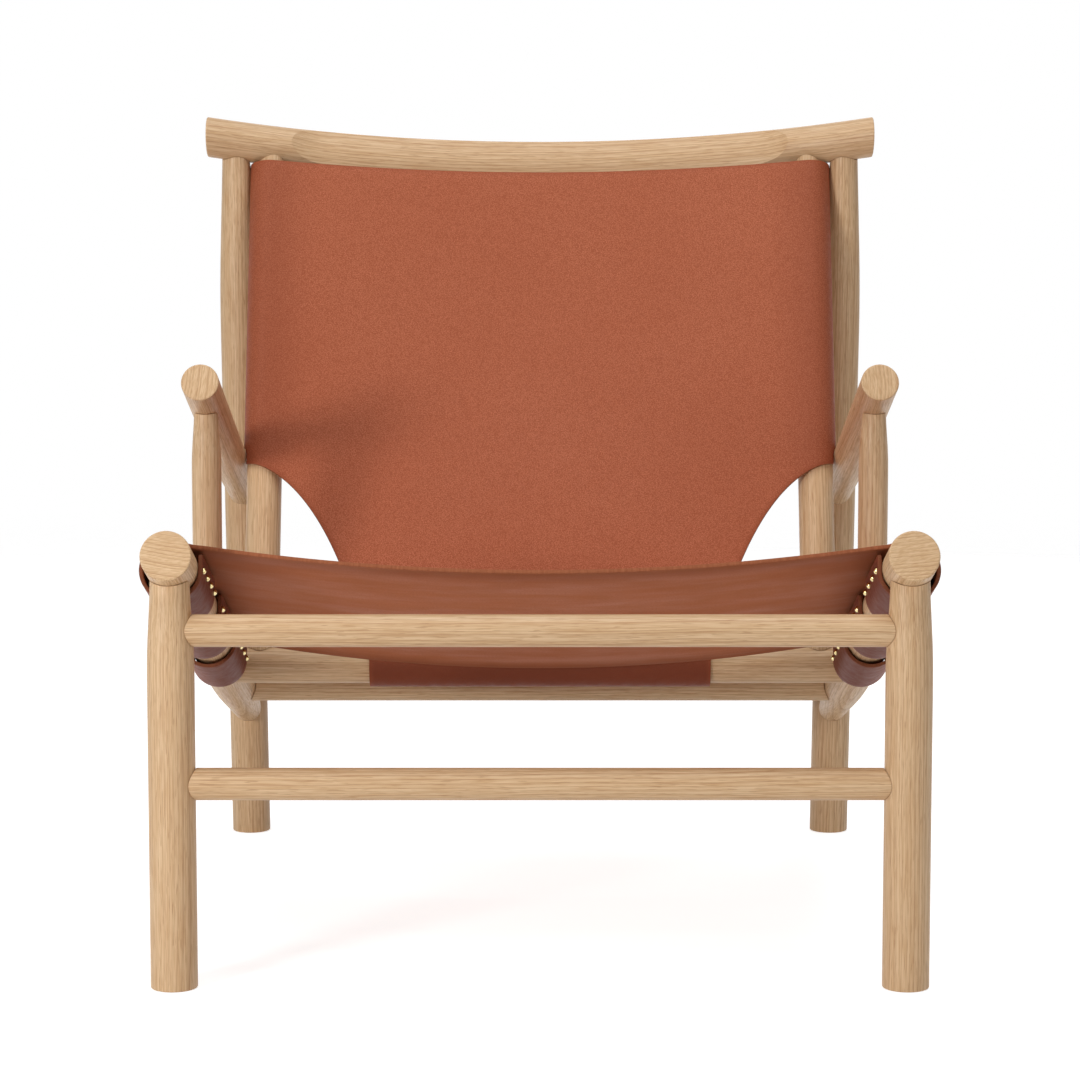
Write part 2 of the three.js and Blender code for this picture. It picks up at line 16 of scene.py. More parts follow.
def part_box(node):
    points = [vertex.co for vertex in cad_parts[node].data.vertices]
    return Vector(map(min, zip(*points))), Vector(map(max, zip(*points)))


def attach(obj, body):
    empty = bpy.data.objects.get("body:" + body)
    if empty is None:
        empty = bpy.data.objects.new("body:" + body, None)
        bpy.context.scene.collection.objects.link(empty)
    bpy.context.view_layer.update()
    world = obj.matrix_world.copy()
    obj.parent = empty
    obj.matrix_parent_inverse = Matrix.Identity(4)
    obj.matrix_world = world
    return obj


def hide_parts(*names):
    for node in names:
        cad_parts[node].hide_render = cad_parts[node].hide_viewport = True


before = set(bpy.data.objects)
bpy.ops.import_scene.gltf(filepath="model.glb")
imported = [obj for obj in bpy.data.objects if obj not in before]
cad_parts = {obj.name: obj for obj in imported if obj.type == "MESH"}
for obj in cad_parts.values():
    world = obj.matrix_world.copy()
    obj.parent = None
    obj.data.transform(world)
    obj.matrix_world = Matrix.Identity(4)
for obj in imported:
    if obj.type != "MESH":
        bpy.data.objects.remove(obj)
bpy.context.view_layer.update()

# Layout of the frame
PITCH = math.radians(18.95)
RAIL_HEIGHT = 0.408
RAIL_OVERHANG = 0.032
REAR_FOOT_SETBACK = 0.774
UPPER_STRETCHER_DROP = 0.064
STRETCHER_SPACING = 0.147
ARM_HEIGHT = 0.2375
ARM_FRONT_SETBACK = 0.204
ARM_POST_SETBACK = 0.325
BACK_BAR_SETBACK = 0.507
REAR_STRETCHER_GAP = 0.136
BACK_HEIGHT = 0.6105
ARM_PASS_GAP = 0.001
TOP_RAIL_OVERHANG = 0.031
TOP_RAIL_BEND = 0.96

# Radii of the rounds, at the body and at a tapered end, and the lengths of the tapers
FRONT_LEG, FRONT_LEG_TOP, FRONT_LEG_TAPER = 0.0225, 0.0188, 0.085
REAR_LEG, REAR_LEG_TOP, REAR_LEG_TAPER = 0.0225, 0.016, 0.2
RAIL, RAIL_REAR, RAIL_TAPER = 0.02425, 0.0162, 0.21
ARM, ARM_REAR, ARM_TAPER = 0.0195, 0.016, 0.15
ARM_POST, ARM_POST_TOP, ARM_POST_TAPER = 0.0155, 0.0125, 0.055
BACK_POST, BACK_POST_END, BACK_POST_TAPER = 0.0195, 0.016, 0.09
BACK_BAR = 0.02
STRETCHER = 0.0155
TOP_RAIL = 0.0225

# Hollow along the top rail's front: its size, its mesh, and the share of its depth that cuts fibres
SCOOP_HALF_LENGTH = 0.285
SCOOP_DEPTH, SCOOP_EDGE_DEPTH = 0.0098, 0.0125
SCOOP_END_RADIUS = 0.072
SCOOP_END = math.sqrt(SCOOP_END_RADIUS**2 - (SCOOP_END_RADIUS - SCOOP_EDGE_DEPTH) ** 2)
SCOOP_MERIDIANS = 20
SCOOP_TIP = math.radians(1.5)
SCOOP_END_RINGS = 30
SCOOP_GRAIN = 0.2

# Finish of the rounds
EDGE_EASE = 0.0016
EASE_TURNS = np.radians(np.arange(15, 91, 15))
END_SHARES = (0.3, 0.65, 0.9, 1.0)
END_BANDS = len(END_SHARES) - 1
TAPER_SOFTNESS = 0.5
JOINT_EASE = 0.0007
JOINT_GAP = 0.0004
MERIDIANS = 64
RING_STEP = 0.012
SEAT_REACH = 0.08
FOOT_REACH = 0.01
BISECTIONS = 30
CROSSWISE = 0.9
SHARP_ANGLE = math.radians(50)

# Each round's place in the wood: steps to the next, where they start again, and rings' turns in degrees
TREE_STEP_X, TREE_STEP_Y, TREE_STEP_Z = 0.011, 0.017, 0.83
TREE_SPAN_X, TREE_SPAN_Y = 0.037, 0.05
RAIL_AND_ARM_TURNS = {"left": (90, 8), "right": (78, -6)}

# Hides
HIDE = 0.0036
HIDE_CLEARANCE = 0.0004
LOOP_SLACK = 0.0037
TAIL = 0.014
SEAT_FRONT = 0.023
SEAT_DEPTH = 0.45
SEAT_SAG_FRONT, SEAT_SAG_REAR = 0.0295, 0.035
SEAT_DEPARTURE = math.radians(23)
SEAT_SHOULDER, SEAT_HANG = 0.032, 0.79
SHOULDER_HANDLE = 0.4
LOOP_TURN = 1.5 * math.pi
FRONT_SLOT_SETBACK, FRONT_SLOT_WIDTH = 0.146, 0.062
ARM_POST_SLOT_WIDTH = 0.046
SLOT_REACH = 0.025
HIDE_NOTCH = 0.0015
BACK_TOP_DROP = 0.0265
BACK_SAG, BACK_SAG_HEIGHT = 0.042, 0.45
BACK_DEPARTURE = math.radians(15)
BACK_SHOULDER, BACK_FLAT = 0.1, 0.1
SLEEVE_HEM, SLEEVE_REACH = 0.2273, 0.3325
SCALLOP_FLAT, SCALLOP_FALL = 0.0645, 0.0058
SCALLOP_FLARE, SCALLOP_RISE = 0.030, 0.130
TONGUE_HALF_WIDTH = 0.1875

# Mesh of the hides
SPAN_STEP = 0.009
LOOP_STEP = 0.004
EDGE_STEP = 0.003
CORNER = 0.004
RIM_BULGE = 0.0007
RIM_SQUARENESS = 0.6
RIM_STEPS = 6
TABLE_STEP, TABLE_MARGIN = 0.0005, 0.001
BACK_STATIONS = 60
SCALLOP_POINTS = 60
INSIDE_ONLY = 1
MERGE_DISTANCE = 1e-7

# Point numbers along half a sling's section
SHOULDER_STEPS = 59
SHEET_END = 159
LOOP_END = 278

# Nails
NAIL_RADIUS, NAIL_HEIGHT = 0.0033, 0.0034
NAIL_PITCH = 0.032
NAIL_SINK, NAIL_LIP = 0.0004, 0.0003
NAIL_FOOT_SHARE = 0.9
NAIL_SIDES, NAIL_STEPS = 24, 6
NAIL_PROBE = 0.0005

# Camera, solved from the photograph
CAMERA_Y, CAMERA_Z = -3.1934, 0.7104
CAMERA_TILT = math.radians(5.686)
CAMERA_LENS = 99.93
CAMERA_SENSOR = 36

# Studio
FLOOR_RADIUS, FLOOR_FADE_START = 5.0, 1.5
FLOOR_SIDES = 96
FLOOR_DROP = 0.0005
FLOOR_GLOW, FLOOR_BOUNCE = 0.72, 0.05
WORLD_LIGHT = 0.175
CHAIR_MIDDLE = (0, 0, 0.45)

# Soft square lights: place, target, size and power
LIGHTS = {
    "key": ((-1.78, -2.41, 0.93), CHAIR_MIDDLE, 0.6, 39.0),
    "right": ((1.93, -2.3, 1.0), CHAIR_MIDDLE, 1.3, 9.0),
    "overhead": ((0, -0.5, 3.2), (0, 0, 0), 2.6, 56.0),
    "rear": ((0.6, 3.2, 1.5), CHAIR_MIDDLE, 2.0, 14.0),
}

SIDES = {"left": -1, "right": 1}


def middle_of(node):
    low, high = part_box(node)
    return (low + high) / 2


HALF_SPAN = abs(middle_of("front_leg_left").x)
FRONT_Y = middle_of("front_leg_left").y
POST_SPAN = HALF_SPAN - ARM - BACK_POST - ARM_PASS_GAP
BACK_TOP = BACK_HEIGHT - BACK_TOP_DROP
CRADLE = Matrix.Translation((0, FRONT_Y, RAIL_HEIGHT)) @ Matrix.Rotation(-PITCH, 4, "X")
CRADLE_ROWS = np.array(CRADLE)[:3]


def in_cradle(x, y, z):
    return CRADLE @ Vector((x, y, z))


def all_in_cradle(points):
    """Many points of the cradle at once, as rows of an array."""
    return points @ CRADLE_ROWS[:, :3].T + CRADLE_ROWS[:, 3]


def on_level(x, y, z):
    """A point at a setback from the front legs' axes and a height above the floor."""
    return Vector((x, FRONT_Y + y, z))


def bend_sag(across):
    """How far the bent top rail comes forward at a distance from its middle."""
    return TOP_RAIL_BEND - math.sqrt(TOP_RAIL_BEND**2 - across**2)


TOP_RAIL_MIDDLE = BACK_BAR_SETBACK + bend_sag(POST_SPAN)


def add_object(name, data):
    thing = bpy.data.objects.new(name, data)
    bpy.context.scene.collection.objects.link(thing)
    return thing


def new_piece(name, points, faces, attributes, replaces=()):
    """A smooth mesh object that rides on the frame, with its per-point attributes."""
    mesh = bpy.data.meshes.new(name)
    mesh.from_pydata(np.asarray(points).tolist(), [], faces)
    for key, values in attributes.items():
        layer = mesh.attributes.new(key, "FLOAT_VECTOR", "POINT")
        layer.data.foreach_set("vector", np.asarray(values, np.float32).ravel())
    mesh.polygons.foreach_set("use_smooth", [True] * len(mesh.polygons))
    piece = add_object(name, mesh)
    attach(piece, "root")
    if replaces:
        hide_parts(*replaces)
    return piece


# Oak rounds
class Floor:
    """The level that a foot is cut to."""

    gap, ease, depth = 0.0, EDGE_EASE, FOOT_REACH

    def clearance(self, points):
        return points[:, 2]


class BentRail:
    """The top rail as a seat for the rounds that end on it."""

    gap, ease, depth = JOINT_GAP, JOINT_EASE, 0.0

    def clearance(self, points):
        local = (points - CRADLE_ROWS[:, 3]) @ CRADLE_ROWS[:, :3]
        out = np.hypot(local[:, 0], local[:, 1] - TOP_RAIL_MIDDLE + TOP_RAIL_BEND) - TOP_RAIL_BEND
        return np.hypot(out, local[:, 2] - BACK_HEIGHT) - TOP_RAIL


def soft_start(share):
    """Grows from 0 to 1, slowly at first and then at an even rate."""
    curved = share**2 / (2 * TAPER_SOFTNESS)
    straight = share - TAPER_SOFTNESS / 2
    return np.where(share < TAPER_SOFTNESS, curved, straight) / (1 - TAPER_SOFTNESS / 2)


class Rod:
    """A turned round: its axis, its radii, what each end meets (None if free), and its rings' turn."""

    gap, ease, depth = JOINT_GAP, JOINT_EASE, 0.0

    def __init__(self, start, end, stations, meets, ring_turn):
        self.start = np.array(start)
        self.axis = np.array((end - start).normalized())
        self.length = (end - start).length
        self.stations = stations
        self.meets = meets
        self.ring_turn = math.radians(ring_turn)
        across = (0, 1, 0) if abs(self.axis[0]) > CROSSWISE else (1, 0, 0)
        self.across = np.array(across, float)
        self.over = np.cross(self.axis, self.across)
        turn = np.linspace(0, 2 * math.pi, MERIDIANS, endpoint=False)
        self.round = np.outer(np.cos(turn), self.across) + np.outer(np.sin(turn), self.over)

    def radius(self, along):
        """The radius along the axis. A taper leaves the body softly and then runs straight."""
        radius = np.full_like(along, self.stations[0][1], dtype=float)
        for (a, start), (b, end) in zip(self.stations, self.stations[1:]):
            share = np.clip((along - a) / (b - a), 0, 1)
            radius += (end - start) * (soft_start(share) if end < start else 1 - soft_start(1 - share))
        return radius

    def clearance(self, points):
        offset = points - self.start
        along = offset @ self.axis
        return np.linalg.norm(offset - np.outer(along, self.axis), axis=1) - self.radius(along)

    def ring(self, along, radius):
        along = np.broadcast_to(along, MERIDIANS)
        return self.start + np.outer(along, self.axis) + radius * self.round

    def seat(self, radius, last):
        """How far along each line at a radius the coped end meets its seat."""
        receiver = self.meets[last]
        clear = np.full(MERIDIANS, self.length - SEAT_REACH if last else SEAT_REACH)
        painted_shade_colour = np.full(MERIDIANS, self.length + receiver.depth if last else -receiver.depth)
        for _ in range(BISECTIONS):
            half = (clear + painted_shade_colour) / 2
            free = receiver.clearance(self.ring(half, radius)) > receiver.gap
            clear = np.where(free, half, clear)
            painted_shade_colour = np.where(free, painted_shade_colour, half)
        return clear

    def end_rings(self, last):
        """Rings of an end as (along, radius), from near its middle to its outer edge."""
        inward = -1 if last else 1
        receiver = self.meets[last]
        edge = self.stations[-1 if last else 0][1]
        ease = receiver.ease if receiver else EDGE_EASE
        flat = edge - ease

        def end(radius):
            if receiver:
                return self.seat(radius, last)
            return np.full(MERIDIANS, self.length if last else 0.0)

        rings = [(end(share * flat), share * flat) for share in END_SHARES]
        for turn in EASE_TURNS:
            rounded = flat + ease * math.sin(turn)
            rings.append((end(rounded) + inward * ease * (1 - math.cos(turn)), rounded))
        return rings

    def rings(self):
        first, last = self.end_rings(0), self.end_rings(1)
        start, stop = first[-1][0].max() + JOINT_EASE, last[-1][0].min() - JOINT_EASE
        steps = np.linspace(start, stop, max(2, round((stop - start) / RING_STEP)))
        body = [(np.full(MERIDIANS, at), self.radius(at)) for at in steps]
        return first + body + last[::-1]

    def grain(self, points, offset):
        """Places in the tree: square to the growth rings, along them, and along the fibres."""
        local = points - self.start
        x, y = local @ self.across, local @ self.over
        cos, sin = math.cos(self.ring_turn), math.sin(self.ring_turn)
        return np.stack([x * cos + y * sin, y * cos - x * sin, local @ self.axis], 1) + offset


def ring_faces(count, rings):
    """Faces between rings of count points that follow each other, then a cap on each end's middle."""
    faces = []
    for ring in range(rings - 1):
        a = ring * count
        for i in range(count):
            j = (i + 1) % count
            faces.append((a + i, a + j, a + count + j, a + count + i))
    first, last, a = rings * count, rings * count + 1, (rings - 1) * count
    for i in range(count):
        j = (i + 1) % count
        faces.append((first, j, i))
        faces.append((last, a + i, a + j))
    return faces


def use_oak(piece, rings):
    """Side grain on a round's turned faces, and end grain on its flat ends."""
    piece.data.materials.append(oak)
    piece.data.materials.append(oak_end)
    bands = [ring < END_BANDS or ring >= rings - 1 - END_BANDS for ring in range(rings - 1)]
    index = [int(band) for band in bands for _ in range(MERIDIANS)] + [1] * 2 * MERIDIANS
    piece.data.polygons.foreach_set("material_index", index)


def tree_offset(index):
    """Each round comes from another place in the wood."""
    x = TREE_STEP_X * index % TREE_SPAN_X
    y = TREE_STEP_Y * index % TREE_SPAN_Y
    return np.array([x, y, TREE_STEP_Z * index])


def build_rod(node, rod, index):
    rings = rod.rings()
    points = [rod.ring(along, radius) for along, radius in rings]
    ends = [points[0].mean(0), points[-1].mean(0)]
    points = np.concatenate(points + [np.array(ends)])
    grain = rod.grain(points, tree_offset(index))
    faces = ring_faces(MERIDIANS, len(rings))
    piece = new_piece(f"{node}_round", points, faces, {"grain": grain}, [node])
    piece.data.set_sharp_from_angle(angle=SHARP_ANGLE)
    use_oak(piece, len(rings))


def tapered(length, radius, end_radius, taper, seat):
    """Stations of a round that tapers to where it meets its seat."""
    return [(0, radius), (length - seat - taper, radius), (length - seat, end_radius)]


def frame_rods():
    """Every straight round of the frame, by the name of its node."""
    rods = {}
    top = BentRail()
    upper = RAIL_HEIGHT - UPPER_STRETCHER_DROP
    lower = upper - STRETCHER_SPACING
    level_rail = RAIL / math.cos(PITCH)
    level_arm = ARM / math.cos(PITCH)
    for label, side in SIDES.items():
        x = side * HALF_SPAN
        foot = on_level(x, REAR_FOOT_SETBACK, 0)
        leg_top = in_cradle(x, TOP_RAIL_MIDDLE - bend_sag(HALF_SPAN), BACK_HEIGHT)
        rise = (leg_top - foot).length
        stations = tapered(rise, REAR_LEG, REAR_LEG_TOP, REAR_LEG_TAPER, TOP_RAIL)
        rear_leg = Rod(foot, leg_top, stations, (Floor(), top), ring_turn=9 * side)

        def to_rear_leg(height):
            """Setback along the rail at which a line parallel to it meets the rear leg."""
            start = in_cradle(x, 0, height) - foot
            along = in_cradle(0, 1, 0) - in_cradle(0, 0, 0)
            lean = leg_top - foot
            return -(start.y * lean.z - start.z * lean.y) / (along.y * lean.z - along.z * lean.y)

        def run_back(setback, height, radius, end_radius, taper, ring_turn):
            """A round parallel to the seat rails that ends on the rear leg."""
            start = in_cradle(x, setback, height)
            end = in_cradle(x, to_rear_leg(height), height)
            stations = tapered((end - start).length, radius, end_radius, taper, REAR_LEG)
            return Rod(start, end, stations, (None, rear_leg), ring_turn)

        rail_turn, arm_turn = RAIL_AND_ARM_TURNS[label]
        rail = run_back(-RAIL_OVERHANG, 0, RAIL, RAIL_REAR, RAIL_TAPER, rail_turn)
        arm = run_back(ARM_FRONT_SETBACK, ARM_HEIGHT, ARM, ARM_REAR, ARM_TAPER, arm_turn)

        stations = tapered(RAIL_HEIGHT, FRONT_LEG, FRONT_LEG_TOP, FRONT_LEG_TAPER, level_rail)
        leg_foot, leg_end = on_level(x, 0, 0), on_level(x, 0, RAIL_HEIGHT)
        front_leg = Rod(leg_foot, leg_end, stations, (None, rail), ring_turn=12 * side)

        level = RAIL_HEIGHT - ARM_POST_SETBACK * math.tan(PITCH)
        length = ARM_HEIGHT / math.cos(PITCH)
        stations = tapered(length, ARM_POST, ARM_POST_TOP, ARM_POST_TAPER, level_arm)
        post_foot = on_level(x, ARM_POST_SETBACK, level)
        post_top = on_level(x, ARM_POST_SETBACK, level + length)
        arm_post = Rod(post_foot, post_top, stations, (rail, arm), ring_turn=14)
        rods.update({
            f"front_leg_{label}": front_leg,
            f"rear_leg_{label}": rear_leg,
            f"seat_rail_{label}": rail,
            f"arm_{label}": arm,
            f"arm_post_{label}": arm_post,
        })

    def cross(place, y, z, radius, receiver, ring_turn):
        stations = [(0, radius), (2 * HALF_SPAN, radius)]
        meets = (rods[f"{receiver}_left"], rods[f"{receiver}_right"])
        return Rod(place(-HALF_SPAN, y, z), place(HALF_SPAN, y, z), stations, meets, ring_turn)

    rear_setback = BACK_BAR_SETBACK + REAR_STRETCHER_GAP
    rods["front_stretcher_upper"] = cross(on_level, 0, upper, STRETCHER, "front_leg", ring_turn=80)
    rods["front_stretcher_lower"] = cross(on_level, 0, lower, STRETCHER, "front_leg", ring_turn=74)
    rods["rear_stretcher"] = cross(in_cradle, rear_setback, 0, STRETCHER, "seat_rail", ring_turn=80)
    rods["back_bar"] = cross(in_cradle, BACK_BAR_SETBACK, 0, BACK_BAR, "seat_rail", ring_turn=72)
    for label, side in SIDES.items():
        start = in_cradle(side * POST_SPAN, BACK_BAR_SETBACK, 0)
        end = in_cradle(side * POST_SPAN, BACK_BAR_SETBACK, BACK_HEIGHT)
        stations = [(BACK_BAR, BACK_POST_END), (BACK_BAR + BACK_POST_TAPER / 2, BACK_POST)]
        stations += tapered(BACK_HEIGHT, BACK_POST, BACK_POST_END, BACK_POST_TAPER, TOP_RAIL)[1:]
        meets = (rods["back_bar"], top)
        rods[f"back_post_{label}"] = Rod(start, end, stations, meets, ring_turn=11)
    return rods


def build_top_rail(index):
    """The bent rail, square at its ends, with a shallow hollow along its front."""
    end = HALF_SPAN + TOP_RAIL_OVERHANG
    even = SCOOP_HALF_LENGTH - SCOOP_END

    def reached(x):
        """Share of the hollow's depth: even along the middle, running out in an arc at each end."""
        if abs(x) >= SCOOP_HALF_LENGTH:
            return 0.0
        past = max(0, abs(x) - even)
        floor = SCOOP_END_RADIUS - SCOOP_EDGE_DEPTH
        return (math.sqrt(SCOOP_END_RADIUS**2 - past**2) - floor) / SCOOP_EDGE_DEPTH

    def section(x, radius):
        """Points round the rail at a distance across the chair, and where they are in the tree."""
        share = reached(x)
        edge = max(SCOOP_TIP, math.acos(1 - share * SCOOP_EDGE_DEPTH / TOP_RAIL))
        face = np.linspace(-edge, edge, SCOOP_MERIDIANS)
        rest = np.linspace(edge, 2 * math.pi - edge, MERIDIANS - SCOOP_MERIDIANS + 2)[1:-1]
        turn = np.concatenate([face, rest])
        back, over = -radius * np.cos(turn), radius * np.sin(turn)
        crown = 1 - (np.sin(face) / math.sin(edge)) ** 2
        cut = share * (SCOOP_EDGE_DEPTH - (SCOOP_EDGE_DEPTH - SCOOP_DEPTH) * crown) - TOP_RAIL
        in_tree = back.copy()
        if share > 0:
            back[:SCOOP_MERIDIANS] = np.maximum(back[:SCOOP_MERIDIANS], cut)
        in_tree += SCOOP_GRAIN * (back - in_tree)
        y = np.sqrt((TOP_RAIL_BEND + back) ** 2 - x**2) - TOP_RAIL_BEND
        along = np.arcsin(x / (TOP_RAIL_BEND + back)) * TOP_RAIL_BEND
        points = np.stack([np.full(MERIDIANS, x), y + TOP_RAIL_MIDDLE, over + BACK_HEIGHT], 1)
        return points, np.stack([over, in_tree, along], 1)

    caps = [(0, share * (TOP_RAIL - EDGE_EASE)) for share in END_SHARES]
    for turn in EASE_TURNS:
        caps.append((EDGE_EASE * (1 - math.cos(turn)), TOP_RAIL - EDGE_EASE * (1 - math.sin(turn))))
    tip = SCOOP_HALF_LENGTH - SCOOP_END * np.linspace(1, 0, SCOOP_END_RINGS) ** 2
    solid = grid_steps(SCOOP_HALF_LENGTH, end - 2 * EDGE_EASE, RING_STEP)[1:]
    outer = np.concatenate([tip[1:], solid])
    body = np.concatenate([-outer[::-1], grid_steps(-even, even, RING_STEP), outer])
    rings = [(-end + inset, radius) for inset, radius in caps]
    rings += [(x, TOP_RAIL) for x in body]
    rings += [(end - inset, radius) for inset, radius in reversed(caps)]
    points, grain = zip(*(section(x, radius) for x, radius in rings))
    points = np.concatenate([*points, [points[0].mean(0), points[-1].mean(0)]])
    grain = np.concatenate([*grain, [grain[0].mean(0), grain[-1].mean(0)]])
    faces = ring_faces(MERIDIANS, len(rings))
    attributes = {"grain": grain + tree_offset(index)}
    piece = new_piece("top_rail_bent", all_in_cradle(points), faces, attributes, ["top_rail"])
    hollowed = {i for i, (x, _) in enumerate(rings) if abs(x) <= SCOOP_HALF_LENGTH}
    # The hollow's edge stays crisp
    for line in piece.data.edges:
        ring, place = np.divmod(line.vertices, MERIDIANS)
        at_edge = place[0] == place[1] and place[0] in (0, SCOOP_MERIDIANS - 1)
        line.use_edge_sharp = bool(at_edge and hollowed.issuperset(ring.tolist()))
    use_oak(piece, len(rings))


# Hides
def bezier(corners, count):
    """Points along a curve that runs between four corners."""
    a, b, c, d = np.array(corners)
    t = np.linspace(0, 1, count)[:, None]
    return (1 - t) ** 3 * a + 3 * t * (1 - t) ** 2 * b + 3 * t**2 * (1 - t) * c + t**3 * d


def stretched_sheet(radius, departure, shoulder, flat, span, middle):
    """A sheet from its middle to a rail that it leaves at an angle, as (distance from it, height)."""
    leave = radius * np.array([math.sin(departure), math.cos(departure)])
    handle = leave + shoulder * np.array([math.cos(departure), -math.sin(departure)])
    return bezier([(span, middle), (span - flat, middle), handle, leave], SHEET_END + 1)


def hung_sheet(radius, departure, shoulder, hang, span, sag):
    """A sheet that hangs in an even curve up to a short shoulder, where it bends up to its rail."""
    middle = radius - sag
    share = np.linspace(0, 1, SHEET_END - SHOULDER_STEPS + 1)
    hanging = np.stack([span - share * (span - shoulder), middle + hang * sag * share**2], 1)
    slope = np.array([-(span - shoulder), 2 * hang * sag])
    leave = radius * np.array([math.sin(departure), math.cos(departure)])
    reach = SHOULDER_HANDLE * math.dist(leave, hanging[-1])
    low = hanging[-1] + reach * slope / np.linalg.norm(slope)
    high = leave - reach * np.array([-math.cos(departure), math.sin(departure)])
    bend = bezier([hanging[-1], low, high, leave], SHOULDER_STEPS + 1)
    return np.concatenate([hanging, bend[1:]])


def sling_section(sheet, radius, slack, departure, span):
    """Half a sling's section from its middle to past its tail's end, as (across, towards the sitter)."""
    sweep = LOOP_TURN + departure
    share = np.linspace(1, 0, LOOP_END - SHEET_END + 1)[1:]
    loose = radius + slack * np.sin(math.pi * share)
    loop = np.stack([loose * np.cos(-sweep * share), loose * np.sin(-sweep * share)], 1)
    tail = np.array([[radius, 2 * TAIL]])
    line = np.concatenate([sheet, loop, tail])
    line[:, 0] = span - line[:, 0]
    return line


class Sling:
    """A hide's middle surface, by the distance across the sheet and the distance along it."""

    def __init__(self, stations, sections, half_width):
        self.stations = np.array(stations)
        self.across = np.arange(0, half_width + 2 * TABLE_STEP, TABLE_STEP)
        tables = []
        for line in sections:
            run = np.concatenate([[0], np.cumsum(np.linalg.norm(np.diff(line, axis=0), axis=1))])
            tables.append([np.interp(self.across, run, line[:, k]) for k in (0, 1)])
        self.tables = np.array(tables)

    def section_at(self, across, along):
        """(x, towards the sitter) for arrays of distances."""
        along = np.clip(along, self.stations[0], self.stations[-1])
        row = np.clip(np.searchsorted(self.stations, along) - 1, 0, len(self.stations) - 2)
        share = (along - self.stations[row]) / (self.stations[row + 1] - self.stations[row])
        column = np.clip(np.abs(across) / TABLE_STEP, 0, len(self.across) - 1 - TABLE_MARGIN)
        low = column.astype(int)
        rest = column - low
        found = []
        for k in (0, 1):
            table = self.tables[:, k]
            near = table[row, low] * (1 - rest) + table[row, low + 1] * rest
            far = table[row + 1, low] * (1 - rest) + table[row + 1, low + 1] * rest
            found.append(near * (1 - share) + far * share)
        return found[0] * np.sign(across), found[1]


def arc_points(centre, radius, start, stop):
    """Points on an arc, from one turn to another in degrees."""
    count = max(3, round(abs(math.radians(stop - start)) * radius / EDGE_STEP))
    turn = np.radians(np.linspace(start, stop, count + 1))
    return [(centre[0] + radius * math.cos(a), centre[1] + radius * math.sin(a)) for a in turn]


def corner_arc(corner, along):
    """A small round corner on a pattern's right: along is 1 where a side ends, -1 where it starts."""
    centre = (corner[0] - CORNER, corner[1] - along * CORNER)
    start = 0 if along > 0 else 270
    return arc_points(centre, CORNER, start, start + 90)


def dense(outline):
    """A closed outline with points no further apart than the edge's step."""
    points = []
    for a, b in zip(outline, outline[1:] + outline[:1]):
        count = max(1, math.ceil(math.dist(a, b) / EDGE_STEP))
        over, up = b[0] - a[0], b[1] - a[1]
        points += [(a[0] + over * i / count, a[1] + up * i / count) for i in range(count)]
    return points


def inside(points, outline):
    """Which points lie inside a closed outline."""
    x, y = points[:, 0], points[:, 1]
    found = np.zeros(len(points), bool)
    for (ax, ay), (bx, by) in zip(outline, outline[1:] + outline[:1]):
        if ay == by:
            continue
        crosses = (ay > y) != (by > y)
        found ^= crosses & (x < ax + (bx - ax) * (y - ay) / (by - ay))
    return found


def triangulate(right, columns, rows):
    """A flat pattern from the right half of its outline: points, triangles, distances in, and area."""
    edge = dense(right + [(-x, y) for x, y in reversed(right)])
    tree = KDTree(len(edge))
    for i, point in enumerate(edge):
        tree.insert((*point, 0), i)
    tree.balance()
    grid = np.array([(c, r) for c in columns for r in rows])
    grid = grid[inside(grid, edge)]
    away = np.array([tree.find((*p, 0))[2] for p in grid])
    grid = grid[away > EDGE_STEP]
    points = [Vector(p) for p in edge] + [Vector(p) for p in grid]
    edges = [(i, (i + 1) % len(edge)) for i in range(len(edge))]
    flat, _, triangles, *_ = delaunay_2d_cdt(points, edges, [], INSIDE_ONLY, MERGE_DISTANCE)
    flat = np.array([tuple(p) for p in flat])
    triangles = np.array([t for t in triangles if len(t) == 3])
    a, b, c = (flat[triangles[:, k]] for k in range(3))
    area = (b - a)[:, 0] * (c - a)[:, 1] - (b - a)[:, 1] * (c - a)[:, 0]
    triangles = np.where((area < 0)[:, None], triangles[:, ::-1], triangles)
    rim = np.array([tree.find((*p, 0))[2] for p in flat])
    return flat, triangles, rim, float(np.abs(area).sum() / 2)


def point_normals(points, triangles):
    a, b, c = (points[triangles[:, k]] for k in range(3))
    face = np.cross(b - a, c - a)
    normals = np.zeros_like(points)
    for k in range(3):
        np.add.at(normals, triangles[:, k], face)
    return normals / np.linalg.norm(normals, axis=1)[:, None]


def boundary(triangles):
    """For each point of the outline, the next one along it, with the sheet on the left."""
    corners = triangles.tolist()
    edges = dict.fromkeys(edge for a, b, c in corners for edge in ((a, b), (b, c), (c, a)))
    return {a: b for a, b in edges if (b, a) not in edges}


